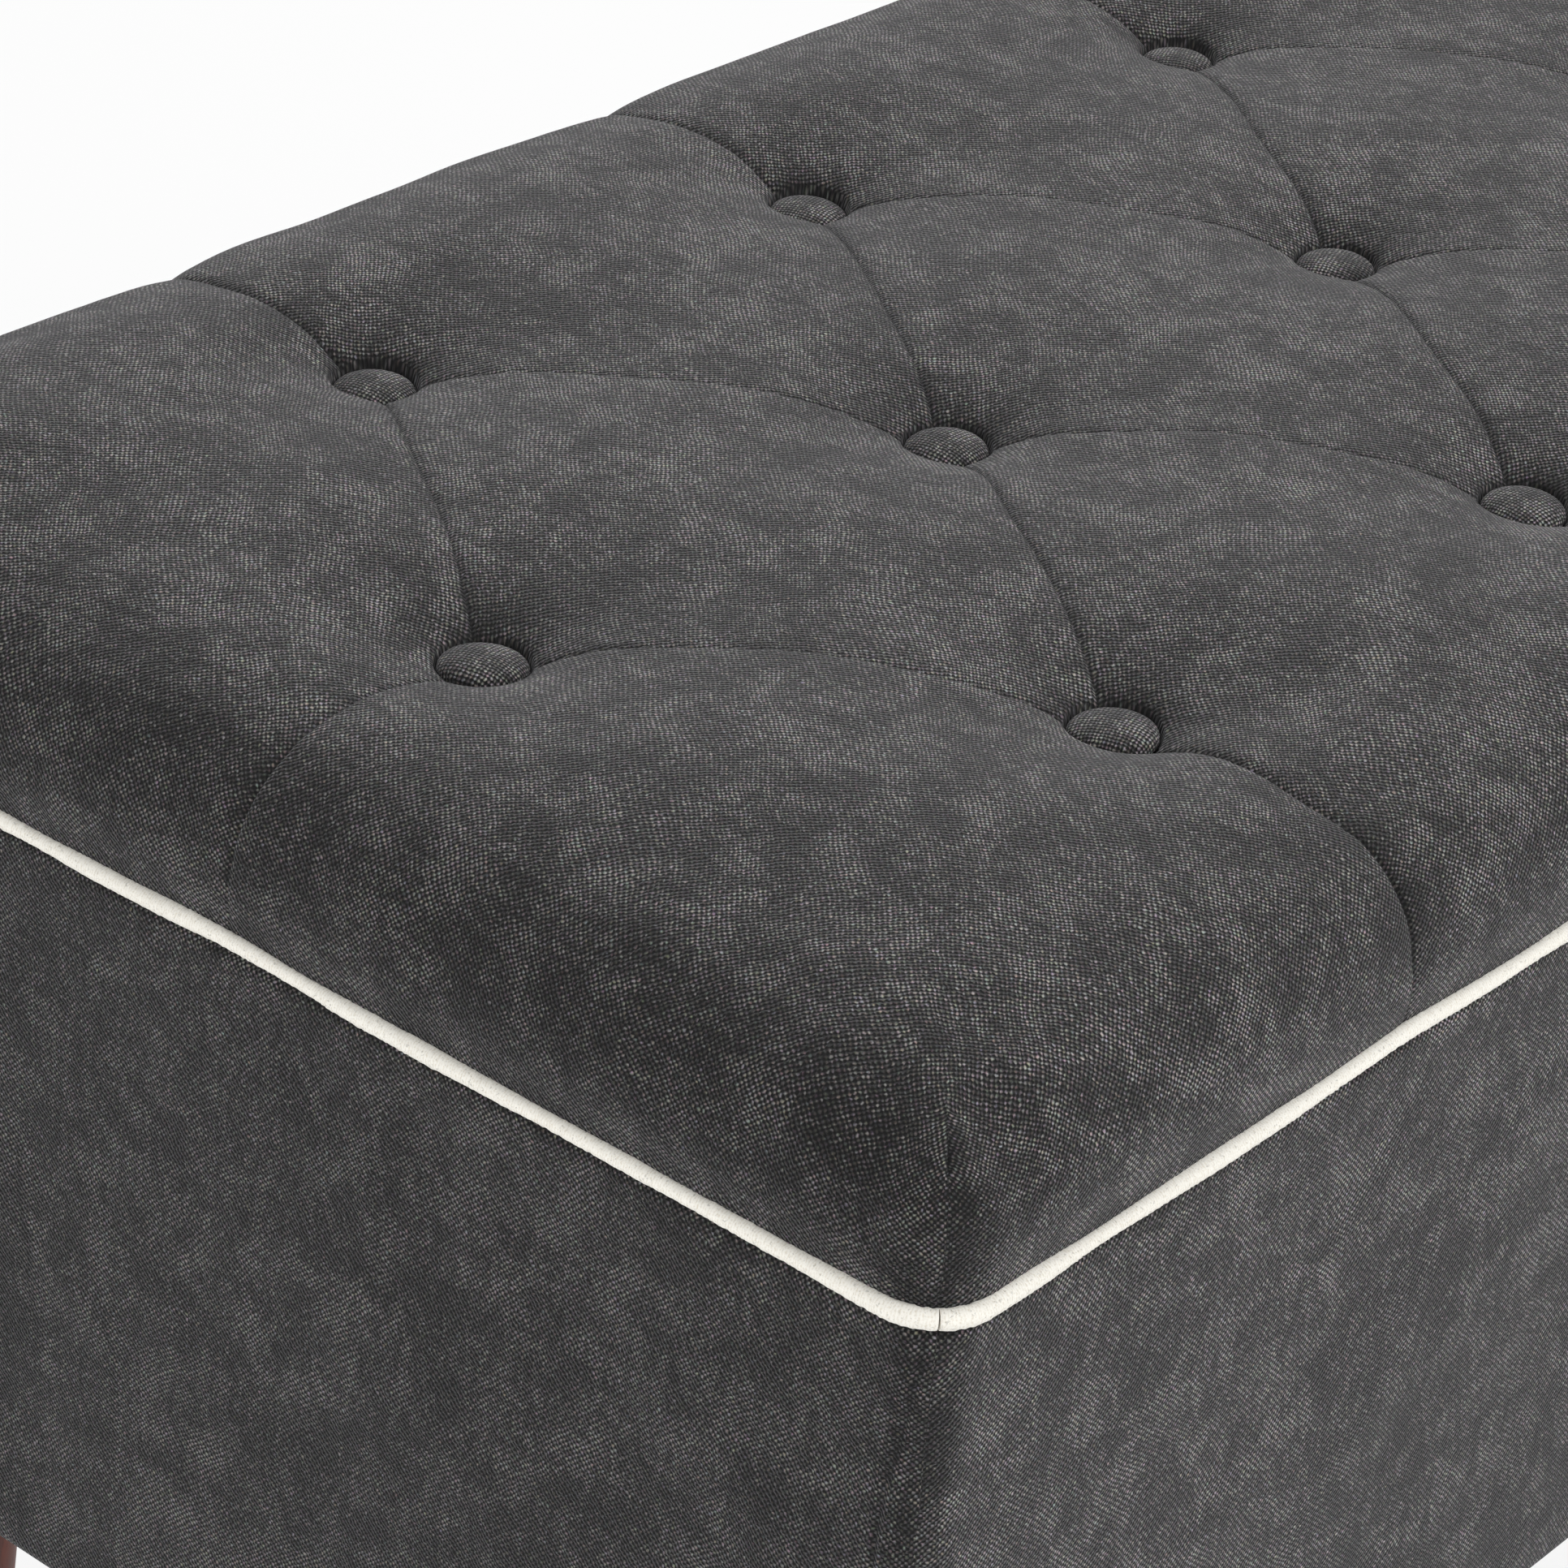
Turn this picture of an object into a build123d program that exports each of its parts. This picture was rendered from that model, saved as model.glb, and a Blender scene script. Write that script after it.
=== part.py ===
from build123d import *
from math import asin, atan2, cos, degrees, hypot, radians, sin
import os

# Storage ottoman bench, in millimetres. X runs along the length, the front faces -Y,
# the hinges are at +Y, and the origin is on the floor below the middle of the box.

# Tufting grid
button_pitch = 180.0
centre_row_buttons = 6
outer_row_buttons = centre_row_buttons - 1
row_spacing = 125.0
end_margin = 85.0
side_margin = 93.0

# Box
box_length = outer_row_buttons * button_pitch + 2 * end_margin
box_width = 2 * row_spacing + 2 * side_margin
box_height = 220.0
box_corner_radius = 16.0
box_edge_radius = 3.0
panel_thickness = 15.0
padding_thickness = 5.0
cover_thickness = 1.5
hem_width = 24.0
lining_thickness = 1.0
bottom_panel_thickness = 9.0
rail_height = 28.0
cleat_width = 20.0
centre_rail_width = 40.0
leg_block_size = 100.0
dust_cover_thickness = 0.8
dust_cover_margin = 10.0

# Legs
leg_length = 144.2
leg_top_radius = 24.0
leg_foot_radius = 14.0
leg_foot_fillet = 2.0
leg_inset = 56.0
glide_height = 5.0
glide_radius = 12.0
glide_fillet = 1.5
glide_nail_radius = 1.5
glide_nail_length = 12.0
leg_bolt_radius = 4.0
leg_bolt_depth = 30.0
leg_bolt_reach = 11.0
leg_plate_size = 60.0
leg_plate_boss_radius = 7.0
leg_plate_boss_height = 12.0
leg_plate_screw_offset = 22.0

# Lid
lid_gap = 1.8
lid_bulge = 1.0
lid_corner_radius = 22.0
side_rise = 24.8
side_tuck = 4.0
shoulder_radius = 24.0
crown_radius = 500.0
crown_angle = 11.0
board_thickness = 12.0
board_margin = 9.0
board_corner_radius = 14.0
under_hem_width = 32.0
foam_clearance = 0.2
lid_lining_margin = 5.0

# Tufting
button_radius = 11.5
button_height = 7.0
button_dome_height = 5.0
button_skin_thickness = 1.0
button_top_above_piping = 47.2
button_seat_gap = 0.2
dimple_floor_radius = 12.5
dimple_mouth_radius = 40.0
pleat_depth = 3.0
pleat_button_depth = 10.6
pleat_slope = 1.3
tie_radius = 0.9
tie_washer_radius = 6.0
tie_washer_thickness = 1.0

# Piping
piping_radius = 2.25
piping_corner_radius = 21.0
piping_clearance = 0.35
piping_flange_width = 9.0
piping_flange_thickness = 0.8

# Hinges
hinge_spacing = 380.0
hinge_width = 60.0
hinge_clearance = 0.3
barrel_radius = 4.0
hinge_pin_radius = 2.0
hinge_pin_head_radius = 3.0
hinge_pin_head_height = 1.0
running_clearance = 0.05
leaf_thickness = 1.5
box_leaf_height = 32.0
lid_leaf_width = 26.0
knuckle_count = 5
hinge_screw_spacing = 20.0
hinge_screw_setback = 20.0
box_hinge_screw_length = 18.0
lid_hinge_screw_length = 12.0
piping_hinge_room = 1.0

# Lid stays
lid_limit = 95.0
stay_foot_setback = 70.0
stay_foot_drop = 110.0
stay_head_setback = 160.0
stay_head_drop = 7.5
arm_thickness = 2.0
arm_half_width = 7.0
arm_gap = 0.3
rivet_radius = 3.0
rivet_head_radius = 5.0
rivet_head_height = 1.0
knee_clearance = 0.3
stop_pin_radius = 1.5
stop_pin_distance = 14.0
stop_clearance = 0.3
bracket_thickness = 1.5
foot_bracket_width = 24.0
foot_bracket_height = 50.0
foot_bracket_screw_offset = 18.0
foot_bracket_corner_radius = 6.0
head_bracket_width = 30.0
head_bracket_reach = 22.0
head_bracket_below = 8.0
head_bracket_screw_offset = 9.0
stay_screw_length = 14.0

# Fasteners and small parts
screw_radius = 1.75
screw_head_radius = 3.4
screw_head_height = 1.4
screw_tip_height = 3.0
leg_plate_screw_length = 18.0
frame_screw_radius = 2.5
frame_screw_head_radius = 4.5
frame_screw_head_height = 2.4
frame_screw_length = 50.0
frame_screw_rows = 3
frame_screw_pitch = 80.0
cleat_screw_length = 30.0
cleat_screw_columns = 3
cleat_screw_pitch = 260.0
bottom_screw_length = 28.0
bottom_screw_margin = 20.0
bumper_radius = 4.0
bumper_height = 1.5
bumper_edge_distance = 16.0
bumper_end_distance = 60.0
overrun = 3.0

# Heights
leg_top_z = glide_height + leg_length
box_bottom_z = leg_top_z + dust_cover_thickness
frame_bottom_z = box_bottom_z + cover_thickness
box_top_z = box_bottom_z + box_height
frame_top_z = box_top_z - cover_thickness
frame_height = frame_top_z - frame_bottom_z
rail_top_z = frame_bottom_z + rail_height
bottom_panel_top_z = rail_top_z + bottom_panel_thickness
floor_z = bottom_panel_top_z + lining_thickness
lid_bottom_z = box_top_z + lid_gap
board_bottom_z = lid_bottom_z + cover_thickness
piping_z = box_top_z + piping_clearance + piping_radius
widest_z = lid_bottom_z + side_rise
crown_slope = radians(crown_angle)
crown_z = widest_z + shoulder_radius * cos(crown_slope) + crown_radius * (1 - cos(crown_slope))
button_top_z = piping_z + button_top_above_piping
button_base_z = button_top_z - button_height
dimple_floor_z = button_base_z - button_seat_gap

# Plan sizes
skin_thickness = cover_thickness + padding_thickness
frame_length = box_length - 2 * skin_thickness
frame_width = box_width - 2 * skin_thickness
inner_length = frame_length - 2 * panel_thickness
inner_width = frame_width - 2 * panel_thickness
store_length = inner_length - 2 * lining_thickness
store_width = inner_width - 2 * lining_thickness
lid_half_length = box_length / 2 + lid_bulge
lid_half_width = box_width / 2 + lid_bulge
side_radius = (side_rise**2 + side_tuck**2) / (2 * side_tuck)
board_length = box_length - 2 * board_margin
board_width = box_width - 2 * board_margin
leg_x = box_length / 2 - leg_inset
leg_y = box_width / 2 - leg_inset
leg_places = [(x, y) for x in (-leg_x, leg_x) for y in (-leg_y, leg_y)]

# Button places
centre_xs = [(i - (centre_row_buttons - 1) / 2) * button_pitch for i in range(centre_row_buttons)]
outer_xs = [(i - (outer_row_buttons - 1) / 2) * button_pitch for i in range(outer_row_buttons)]
button_places = [(x, 0) for x in centre_xs]
button_places += [(x, y) for y in (-row_spacing, row_spacing) for x in outer_xs]

# Hinge axis
hinge_y = box_width / 2 + hinge_clearance + barrel_radius
hinge_z = lid_bottom_z - barrel_radius
hinge_xs = (-hinge_spacing, 0, hinge_spacing)
knuckle_length = hinge_width / knuckle_count


def wood_screw(radius, head_radius, head_height, length):
    """Countersunk screw pointing down, its head's flat face at the origin."""
    with BuildPart() as screw:
        with BuildSketch(Plane.XZ):
            with BuildLine():
                Polyline(
                    (0, 0),
                    (head_radius, 0),
                    (radius, -head_height),
                    (radius, -length + screw_tip_height),
                    (0, -length),
                    close=True,
                )
            make_face()
        revolve(axis=Axis.Z)
    return screw.part


def small_screw(length):
    """Screw of the size that the metal fittings use."""
    return wood_screw(screw_radius, screw_head_radius, screw_head_height, length)


def frame_screw(length):
    """Larger screw that holds the wooden frame together."""
    return wood_screw(frame_screw_radius, frame_screw_head_radius, frame_screw_head_height, length)


def rounded_block(length, width, corner_radius, edge_radius, low_z, high_z):
    """Upright block with rounded corners in plan and a rounded top edge."""
    with BuildPart() as block:
        with BuildSketch(Plane.XY.offset(low_z)):
            RectangleRounded(length, width, corner_radius)
        extrude(amount=high_z - low_z)
        if edge_radius:
            fillet(block.faces().sort_by(Axis.Z)[-1].edges(), edge_radius)
    return block.part


# Box fasteners, made first so that each one cuts its own hole
frame_screw_x = (frame_length - panel_thickness) / 2
frame_screw_zs = [
    frame_bottom_z + frame_height / 2 + (i - (frame_screw_rows - 1) / 2) * frame_screw_pitch
    for i in range(frame_screw_rows)
]
with BuildPart() as panel_screws:
    for face, turn in ((-1, 90), (1, -90)):
        places = [
            (x, face * frame_width / 2, z) for x in (-frame_screw_x, frame_screw_x) for z in frame_screw_zs
        ]
        with Locations(*[Location(place, (turn, 0, 0)) for place in places]):
            add(frame_screw(frame_screw_length))

cleat_screw_xs = [
    (i - (cleat_screw_columns - 1) / 2) * cleat_screw_pitch for i in range(cleat_screw_columns)
]
cleat_face_y = inner_width / 2 - cleat_width
with BuildPart() as cleat_screws:
    for face, turn in ((-1, -90), (1, 90)):
        places = [(x, face * cleat_face_y, frame_bottom_z + rail_height / 2) for x in cleat_screw_xs]
        with Locations(*[Location(place, (turn, 0, 0)) for place in places]):
            add(frame_screw(cleat_screw_length))

bottom_screw_x = inner_length / 2 - leg_block_size + bottom_screw_margin
bottom_screw_y = inner_width / 2 - leg_block_size + bottom_screw_margin
with BuildPart() as bottom_panel_screws:
    places = [
        (x, y, bottom_panel_top_z)
        for x in (-bottom_screw_x, 0, bottom_screw_x)
        for y in (-bottom_screw_y, bottom_screw_y)
    ]
    with Locations(*places):
        add(small_screw(bottom_screw_length))

with BuildPart() as leg_plate_screws:
    for x, y in leg_places:
        with Locations((x, y, box_bottom_z)):
            with GridLocations(2 * leg_plate_screw_offset, 2 * leg_plate_screw_offset, 2, 2):
                add(small_screw(leg_plate_screw_length), rotation=(180, 0, 0))

with BuildPart() as leg_bolts:
    with Locations(*[(x, y, leg_top_z - leg_bolt_depth) for x, y in leg_places]):
        Cylinder(
            leg_bolt_radius,
            leg_bolt_depth + dust_cover_thickness + leg_bolt_reach,
            align=(Align.CENTER, Align.CENTER, Align.MIN),
        )

# Legs
with BuildPart() as foot_glides:
    with Locations(*[(x, y, 0) for x, y in leg_places]):
        Cylinder(glide_radius, glide_height, align=(Align.CENTER, Align.CENTER, Align.MIN))
    fillet(foot_glides.faces().group_by(Axis.Z)[-1].edges(), glide_fillet)
    with Locations(*[(x, y, glide_height) for x, y in leg_places]):
        Cylinder(glide_nail_radius, glide_nail_length, align=(Align.CENTER, Align.CENTER, Align.MIN))

with BuildPart() as turned_leg:
    with BuildSketch(Plane.XZ):
        with BuildLine():
            Polyline(
                (0, glide_height),
                (leg_foot_radius, glide_height),
                (leg_top_radius, leg_top_z),
                (0, leg_top_z),
                close=True,
            )
        make_face()
    revolve(axis=Axis.Z)
    fillet(turned_leg.edges().group_by(Axis.Z)[0], leg_foot_fillet)

legs = {}
leg_names = ("front_left_leg", "rear_left_leg", "front_right_leg", "rear_right_leg")
for leg_name, place in zip(leg_names, leg_places):
    with BuildPart() as leg:
        with Locations(place):
            add(turned_leg.part)
        add(leg_bolts.part, mode=Mode.SUBTRACT)
        add(foot_glides.part, mode=Mode.SUBTRACT)
    legs[leg_name] = leg

with BuildPart() as leg_plates:
    with Locations(*[(x, y, box_bottom_z) for x, y in leg_places]):
        Box(leg_plate_size, leg_plate_size, cover_thickness, align=(Align.CENTER, Align.CENTER, Align.MIN))
        Cylinder(
            leg_plate_boss_radius,
            cover_thickness + leg_plate_boss_height,
            align=(Align.CENTER, Align.CENTER, Align.MIN),
        )
    add(leg_bolts.part, mode=Mode.SUBTRACT)
    add(leg_plate_screws.part, mode=Mode.SUBTRACT)

# Wooden frame
block_x = (inner_length - leg_block_size) / 2
block_y = (inner_width - leg_block_size) / 2
with BuildPart() as leg_blocks:
    with Locations(*[(x, y, frame_bottom_z) for x in (-block_x, block_x) for y in (-block_y, block_y)]):
        Box(leg_block_size, leg_block_size, rail_height, align=(Align.CENTER, Align.CENTER, Align.MIN))
    for fitting in (leg_plates, leg_bolts, leg_plate_screws, bottom_panel_screws):
        add(fitting.part, mode=Mode.SUBTRACT)

with BuildPart() as bottom_cleats:
    cleat_y = (inner_width - cleat_width) / 2
    with Locations((0, -cleat_y, frame_bottom_z), (0, cleat_y, frame_bottom_z)):
        Box(
            inner_length - 2 * leg_block_size,
            cleat_width,
            rail_height,
            align=(Align.CENTER, Align.CENTER, Align.MIN),
        )
    add(cleat_screws.part, mode=Mode.SUBTRACT)

with BuildPart() as centre_rail:
    with Locations((0, 0, frame_bottom_z)):
        Box(
            centre_rail_width,
            inner_width - 2 * cleat_width,
            rail_height,
            align=(Align.CENTER, Align.CENTER, Align.MIN),
        )
    for fitting in (cleat_screws, bottom_panel_screws):
        add(fitting.part, mode=Mode.SUBTRACT)

with BuildPart() as bottom_panel:
    with Locations((0, 0, rail_top_z)):
        Box(
            inner_length,
            inner_width,
            bottom_panel_thickness,
            align=(Align.CENTER, Align.CENTER, Align.MIN),
        )
    add(bottom_panel_screws.part, mode=Mode.SUBTRACT)

# Hinge and stay fasteners in the box
box_leaf_face_y = box_width / 2 + hinge_clearance + leaf_thickness
box_hinge_screw_z = hinge_z - hinge_screw_setback
hinge_screw_xs = [x + step * hinge_screw_spacing for x in hinge_xs for step in (-1, 0, 1)]
with BuildPart() as hinge_box_screws:
    places = [(x, box_leaf_face_y, box_hinge_screw_z) for x in hinge_screw_xs]
    with Locations(*[Location(place, (-90, 0, 0)) for place in places]):
        add(small_screw(box_hinge_screw_length))

stay_foot = (hinge_y - stay_foot_setback, hinge_z - stay_foot_drop)
stay_head = (hinge_y - stay_head_setback, hinge_z - stay_head_drop)
stay_knee = (stay_foot[0] - stay_head_setback, stay_foot[1] - stay_head_drop)
sides = {"left": -1, "right": 1}
bracket_inner_x = store_length / 2 - bracket_thickness
with BuildPart() as stay_box_screws:
    for side in sides.values():
        places = [
            (side * bracket_inner_x, stay_foot[0], stay_foot[1] + step * foot_bracket_screw_offset)
            for step in (-1, 1)
        ]
        with Locations(*[Location(place, (0, -side * 90, 0)) for place in places]):
            add(small_screw(stay_screw_length))

with BuildPart() as front_panel:
    with Locations((0, -(frame_width - panel_thickness) / 2, frame_bottom_z)):
        Box(frame_length, panel_thickness, frame_height, align=(Align.CENTER, Align.CENTER, Align.MIN))
    add(panel_screws.part, mode=Mode.SUBTRACT)
    add(cleat_screws.part, mode=Mode.SUBTRACT)

with BuildPart() as back_panel:
    with Locations((0, (frame_width - panel_thickness) / 2, frame_bottom_z)):
        Box(frame_length, panel_thickness, frame_height, align=(Align.CENTER, Align.CENTER, Align.MIN))
    add(panel_screws.part, mode=Mode.SUBTRACT)
    add(cleat_screws.part, mode=Mode.SUBTRACT)
    add(hinge_box_screws.part, mode=Mode.SUBTRACT)

end_panels = {}
for side_name, side in sides.items():
    with BuildPart() as end_panel:
        with Locations((side * (frame_length - panel_thickness) / 2, 0, frame_bottom_z)):
            Box(panel_thickness, inner_width, frame_height, align=(Align.CENTER, Align.CENTER, Align.MIN))
        add(panel_screws.part, mode=Mode.SUBTRACT)
        add(stay_box_screws.part, mode=Mode.SUBTRACT)
    end_panels[side_name + "_end_panel"] = end_panel

# Box upholstery
cover_core = rounded_block(
    box_length - 2 * cover_thickness,
    box_width - 2 * cover_thickness,
    box_corner_radius - cover_thickness,
    box_edge_radius - cover_thickness,
    frame_bottom_z,
    frame_top_z,
)
with BuildPart() as box_padding:
    add(cover_core)
    with BuildSketch(Plane.XY.offset(frame_bottom_z)):
        Rectangle(frame_length, frame_width)
    extrude(amount=frame_height, mode=Mode.SUBTRACT)
    add(hinge_box_screws.part, mode=Mode.SUBTRACT)

with BuildPart() as box_cover:
    add(rounded_block(box_length, box_width, box_corner_radius, box_edge_radius, box_bottom_z, box_top_z))
    add(cover_core, mode=Mode.SUBTRACT)
    with BuildSketch(Plane.XY.offset(frame_top_z)):
        Rectangle(inner_length, inner_width)
    extrude(amount=cover_thickness, mode=Mode.SUBTRACT)
    with BuildSketch(Plane.XY.offset(box_bottom_z)):
        Rectangle(box_length - 2 * hem_width, box_width - 2 * hem_width)
    extrude(amount=cover_thickness, mode=Mode.SUBTRACT)
    add(hinge_box_screws.part, mode=Mode.SUBTRACT)

with BuildPart() as box_lining:
    with BuildSketch(Plane.XY.offset(floor_z)):
        Rectangle(inner_length, inner_width)
        Rectangle(store_length, store_width, mode=Mode.SUBTRACT)
    extrude(amount=frame_top_z - floor_z)
    add(stay_box_screws.part, mode=Mode.SUBTRACT)

with BuildPart() as floor_liner:
    with BuildSketch(Plane.XY.offset(bottom_panel_top_z)):
        Rectangle(inner_length, inner_width)
    extrude(amount=lining_thickness)

with BuildPart() as dust_cover:
    with BuildSketch(Plane.XY.offset(leg_top_z)):
        RectangleRounded(
            box_length - 2 * dust_cover_margin,
            box_width - 2 * dust_cover_margin,
            box_corner_radius - dust_cover_margin,
        )
    extrude(amount=dust_cover_thickness)
    add(leg_bolts.part, mode=Mode.SUBTRACT)

bumper_x = box_length / 2 - bumper_end_distance
bumper_y = box_width / 2 - bumper_edge_distance
with BuildPart() as lid_bumpers:
    with Locations(*[(x, y, box_top_z) for x in (-bumper_x, bumper_x) for y in (-bumper_y, bumper_y)]):
        Cylinder(bumper_radius, bumper_height, align=(Align.CENTER, Align.CENTER, Align.MIN))

# Hinges
box_knuckle_xs = [
    x + (i - (knuckle_count - 1) / 2) * knuckle_length for x in hinge_xs for i in range(0, knuckle_count, 2)
]
lid_knuckle_xs = [
    x + (i - (knuckle_count - 1) / 2) * knuckle_length for x in hinge_xs for i in range(1, knuckle_count, 2)
]


def along_hinge(xs):
    """Places on the hinge axis, turned so that a cylinder lies along it."""
    return [Location((x, hinge_y, hinge_z), (0, 90, 0)) for x in xs]


with BuildPart() as hinge_pins:
    with Locations(*along_hinge(hinge_xs)):
        Cylinder(hinge_pin_radius, hinge_width)
    head_step = (hinge_width + hinge_pin_head_height) / 2
    with Locations(*along_hinge([x + step * head_step for x in hinge_xs for step in (-1, 1)])):
        Cylinder(hinge_pin_head_radius, hinge_pin_head_height)

with BuildPart() as hinge_box_leaves:
    with Locations(*[(x, box_width / 2 + hinge_clearance, hinge_z) for x in hinge_xs]):
        Box(hinge_width, leaf_thickness, box_leaf_height, align=(Align.CENTER, Align.MIN, Align.MAX))
    with Locations(*along_hinge(lid_knuckle_xs)):
        Cylinder(barrel_radius + hinge_clearance, knuckle_length + hinge_clearance, mode=Mode.SUBTRACT)
    with Locations(*along_hinge(box_knuckle_xs)):
        Cylinder(barrel_radius, knuckle_length - hinge_clearance)
    add(hinge_pins.part, mode=Mode.SUBTRACT)
    add(hinge_box_screws.part, mode=Mode.SUBTRACT)

lid_hinge_screw_y = hinge_y - hinge_screw_setback
with BuildPart() as hinge_lid_screws:
    with Locations(*[(x, lid_hinge_screw_y, lid_bottom_z - leaf_thickness) for x in hinge_screw_xs]):
        add(small_screw(lid_hinge_screw_length), rotation=(180, 0, 0))

with BuildPart() as hinge_lid_leaves:
    with Locations(*[(x, hinge_y, lid_bottom_z) for x in hinge_xs]):
        Box(hinge_width, lid_leaf_width, leaf_thickness, align=(Align.CENTER, Align.MAX, Align.MAX))
    with Locations(*along_hinge(box_knuckle_xs)):
        Cylinder(barrel_radius + hinge_clearance, knuckle_length + hinge_clearance, mode=Mode.SUBTRACT)
    with Locations(*along_hinge(lid_knuckle_xs)):
        Cylinder(barrel_radius, knuckle_length - hinge_clearance)
    with Locations(*along_hinge(hinge_xs)):
        Cylinder(hinge_pin_radius + running_clearance, hinge_width, mode=Mode.SUBTRACT)
    add(hinge_lid_screws.part, mode=Mode.SUBTRACT)


# Lid stays: two flat arms on each side, the lower one always parallel to the lid
def plate_span(side, inner, thickness):
    """Low and high X of a plate whose inner face is a distance from the middle."""
    ends = (side * inner, side * (inner + thickness))
    return min(ends), max(ends)


def rivet(side, place, inner, outer, radius):
    """Round pin along X between two distances from the middle."""
    low, high = plate_span(side, inner, outer - inner)
    with BuildPart() as pin:
        with BuildSketch(Plane.YZ.offset(low)):
            with Locations(place):
                Circle(radius)
        extrude(amount=high - low)
    return pin.part


def arm(side, start, end, inner):
    """Flat bar with round ends between two pivots."""
    low, high = plate_span(side, inner, arm_thickness)
    middle = ((start[0] + end[0]) / 2, (start[1] + end[1]) / 2)
    run, rise = end[0] - start[0], end[1] - start[1]
    with BuildPart() as bar:
        with BuildSketch(Plane.YZ.offset(low)):
            with Locations(middle):
                SlotCenterToCenter(hypot(run, rise), 2 * arm_half_width, rotation=degrees(atan2(rise, run)))
        extrude(amount=high - low)
    return bar.part


lower_arm_x = bracket_inner_x - arm_gap - arm_thickness
upper_arm_x = lower_arm_x - arm_gap - arm_thickness
flange_x = upper_arm_x - arm_gap - bracket_thickness
lid_lining_bottom_z = lid_bottom_z - lining_thickness
head_bracket_bottom_z = lid_lining_bottom_z - bracket_thickness
arm_length = hypot(stay_head_setback, stay_head_drop)
extension = (
    stay_knee[0] - stop_pin_distance * stay_head_setback / arm_length,
    stay_knee[1] - stop_pin_distance * stay_head_drop / arm_length,
)
upper_arm_angle = atan2(stay_head[1] - stay_knee[1], stay_head[0] - stay_knee[0])
stop_offset = asin((arm_half_width + stop_pin_radius + stop_clearance) / stop_pin_distance)
stop_angle = upper_arm_angle + radians(lid_limit) + stop_offset
stop_place = (
    stay_knee[0] + stop_pin_distance * cos(stop_angle),
    stay_knee[1] + stop_pin_distance * sin(stop_angle),
)

stay_box_rivet_parts = []
stay_lid_rivet_parts = []
lower_arms = {}
upper_arms = {}
knee_rivets = {}
for side_name, side in sides.items():
    foot_pin = rivet(side, stay_foot, lower_arm_x, bracket_inner_x + bracket_thickness, rivet_radius)
    foot_head = rivet(
        side, stay_foot, lower_arm_x - running_clearance - rivet_head_height, lower_arm_x - running_clearance,
        rivet_head_radius,
    )
    foot_neck = rivet(side, stay_foot, lower_arm_x - running_clearance, lower_arm_x, rivet_radius)
    stay_box_rivet_parts += [foot_pin, foot_head, foot_neck]
    lid_pin_end = upper_arm_x + arm_thickness + running_clearance
    stay_lid_rivet_parts += [
        rivet(side, stay_head, flange_x, lid_pin_end, rivet_radius),
        rivet(side, stay_head, lid_pin_end, lid_pin_end + arm_gap / 2, rivet_head_radius),
    ]

    with BuildPart() as knee_rivet:
        knee_inner = upper_arm_x - running_clearance
        add(rivet(side, stay_knee, knee_inner, lower_arm_x + arm_thickness, rivet_radius))
        add(rivet(side, stay_knee, knee_inner - rivet_head_height, knee_inner, rivet_head_radius))
    knee_rivets[side_name + "_knee_rivet"] = knee_rivet

    with BuildPart() as lower_arm:
        add(arm(side, stay_foot, extension, lower_arm_x))
        add(rivet(side, stop_place, upper_arm_x, lower_arm_x, stop_pin_radius))
        add(
            rivet(
                side, stay_foot, lower_arm_x, lower_arm_x + arm_thickness, rivet_radius + running_clearance
            ),
            mode=Mode.SUBTRACT,
        )
        add(knee_rivet.part, mode=Mode.SUBTRACT)
    lower_arms[side_name + "_stay_lower_arm"] = lower_arm

    with BuildPart() as upper_arm:
        add(arm(side, stay_knee, stay_head, upper_arm_x))
        upper_end_x = upper_arm_x + arm_thickness
        add(
            rivet(side, stay_knee, upper_arm_x, upper_end_x, rivet_radius + knee_clearance),
            mode=Mode.SUBTRACT,
        )
        add(
            rivet(side, stay_head, upper_arm_x, upper_end_x, rivet_radius + running_clearance),
            mode=Mode.SUBTRACT,
        )
    upper_arms[side_name + "_stay_upper_arm"] = upper_arm

with BuildPart() as stay_box_rivets:
    for pin in stay_box_rivet_parts:
        add(pin)

with BuildPart() as stay_lid_rivets:
    for pin in stay_lid_rivet_parts:
        add(pin)

with BuildPart() as stay_box_brackets:
    for side in sides.values():
        low, high = plate_span(side, bracket_inner_x, bracket_thickness)
        with BuildSketch(Plane.YZ.offset(low)):
            with Locations(stay_foot):
                RectangleRounded(foot_bracket_width, foot_bracket_height, foot_bracket_corner_radius)
        extrude(amount=high - low)
    add(stay_box_rivets.part, mode=Mode.SUBTRACT)
    add(stay_box_screws.part, mode=Mode.SUBTRACT)

head_screw_x = flange_x + bracket_thickness - head_bracket_reach / 2
with BuildPart() as stay_lid_screws:
    places = [
        (side * head_screw_x, stay_head[0] + step * head_bracket_screw_offset, head_bracket_bottom_z)
        for side in sides.values()
        for step in (-1, 1)
    ]
    with Locations(*places):
        add(small_screw(stay_screw_length), rotation=(180, 0, 0))

with BuildPart() as stay_lid_brackets:
    for side in sides.values():
        low, high = plate_span(side, flange_x, bracket_thickness)
        flange_low_z = stay_head[1] - head_bracket_below
        with Locations(((low + high) / 2, stay_head[0], flange_low_z)):
            Box(
                bracket_thickness,
                head_bracket_width,
                lid_lining_bottom_z - flange_low_z,
                align=(Align.CENTER, Align.CENTER, Align.MIN),
            )
        reach_x = flange_x + bracket_thickness - head_bracket_reach / 2
        with Locations((side * reach_x, stay_head[0], head_bracket_bottom_z)):
            Box(
                head_bracket_reach,
                head_bracket_width,
                bracket_thickness,
                align=(Align.CENTER, Align.CENTER, Align.MIN),
            )
    add(stay_lid_rivets.part, mode=Mode.SUBTRACT)
    add(stay_lid_screws.part, mode=Mode.SUBTRACT)


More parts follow.
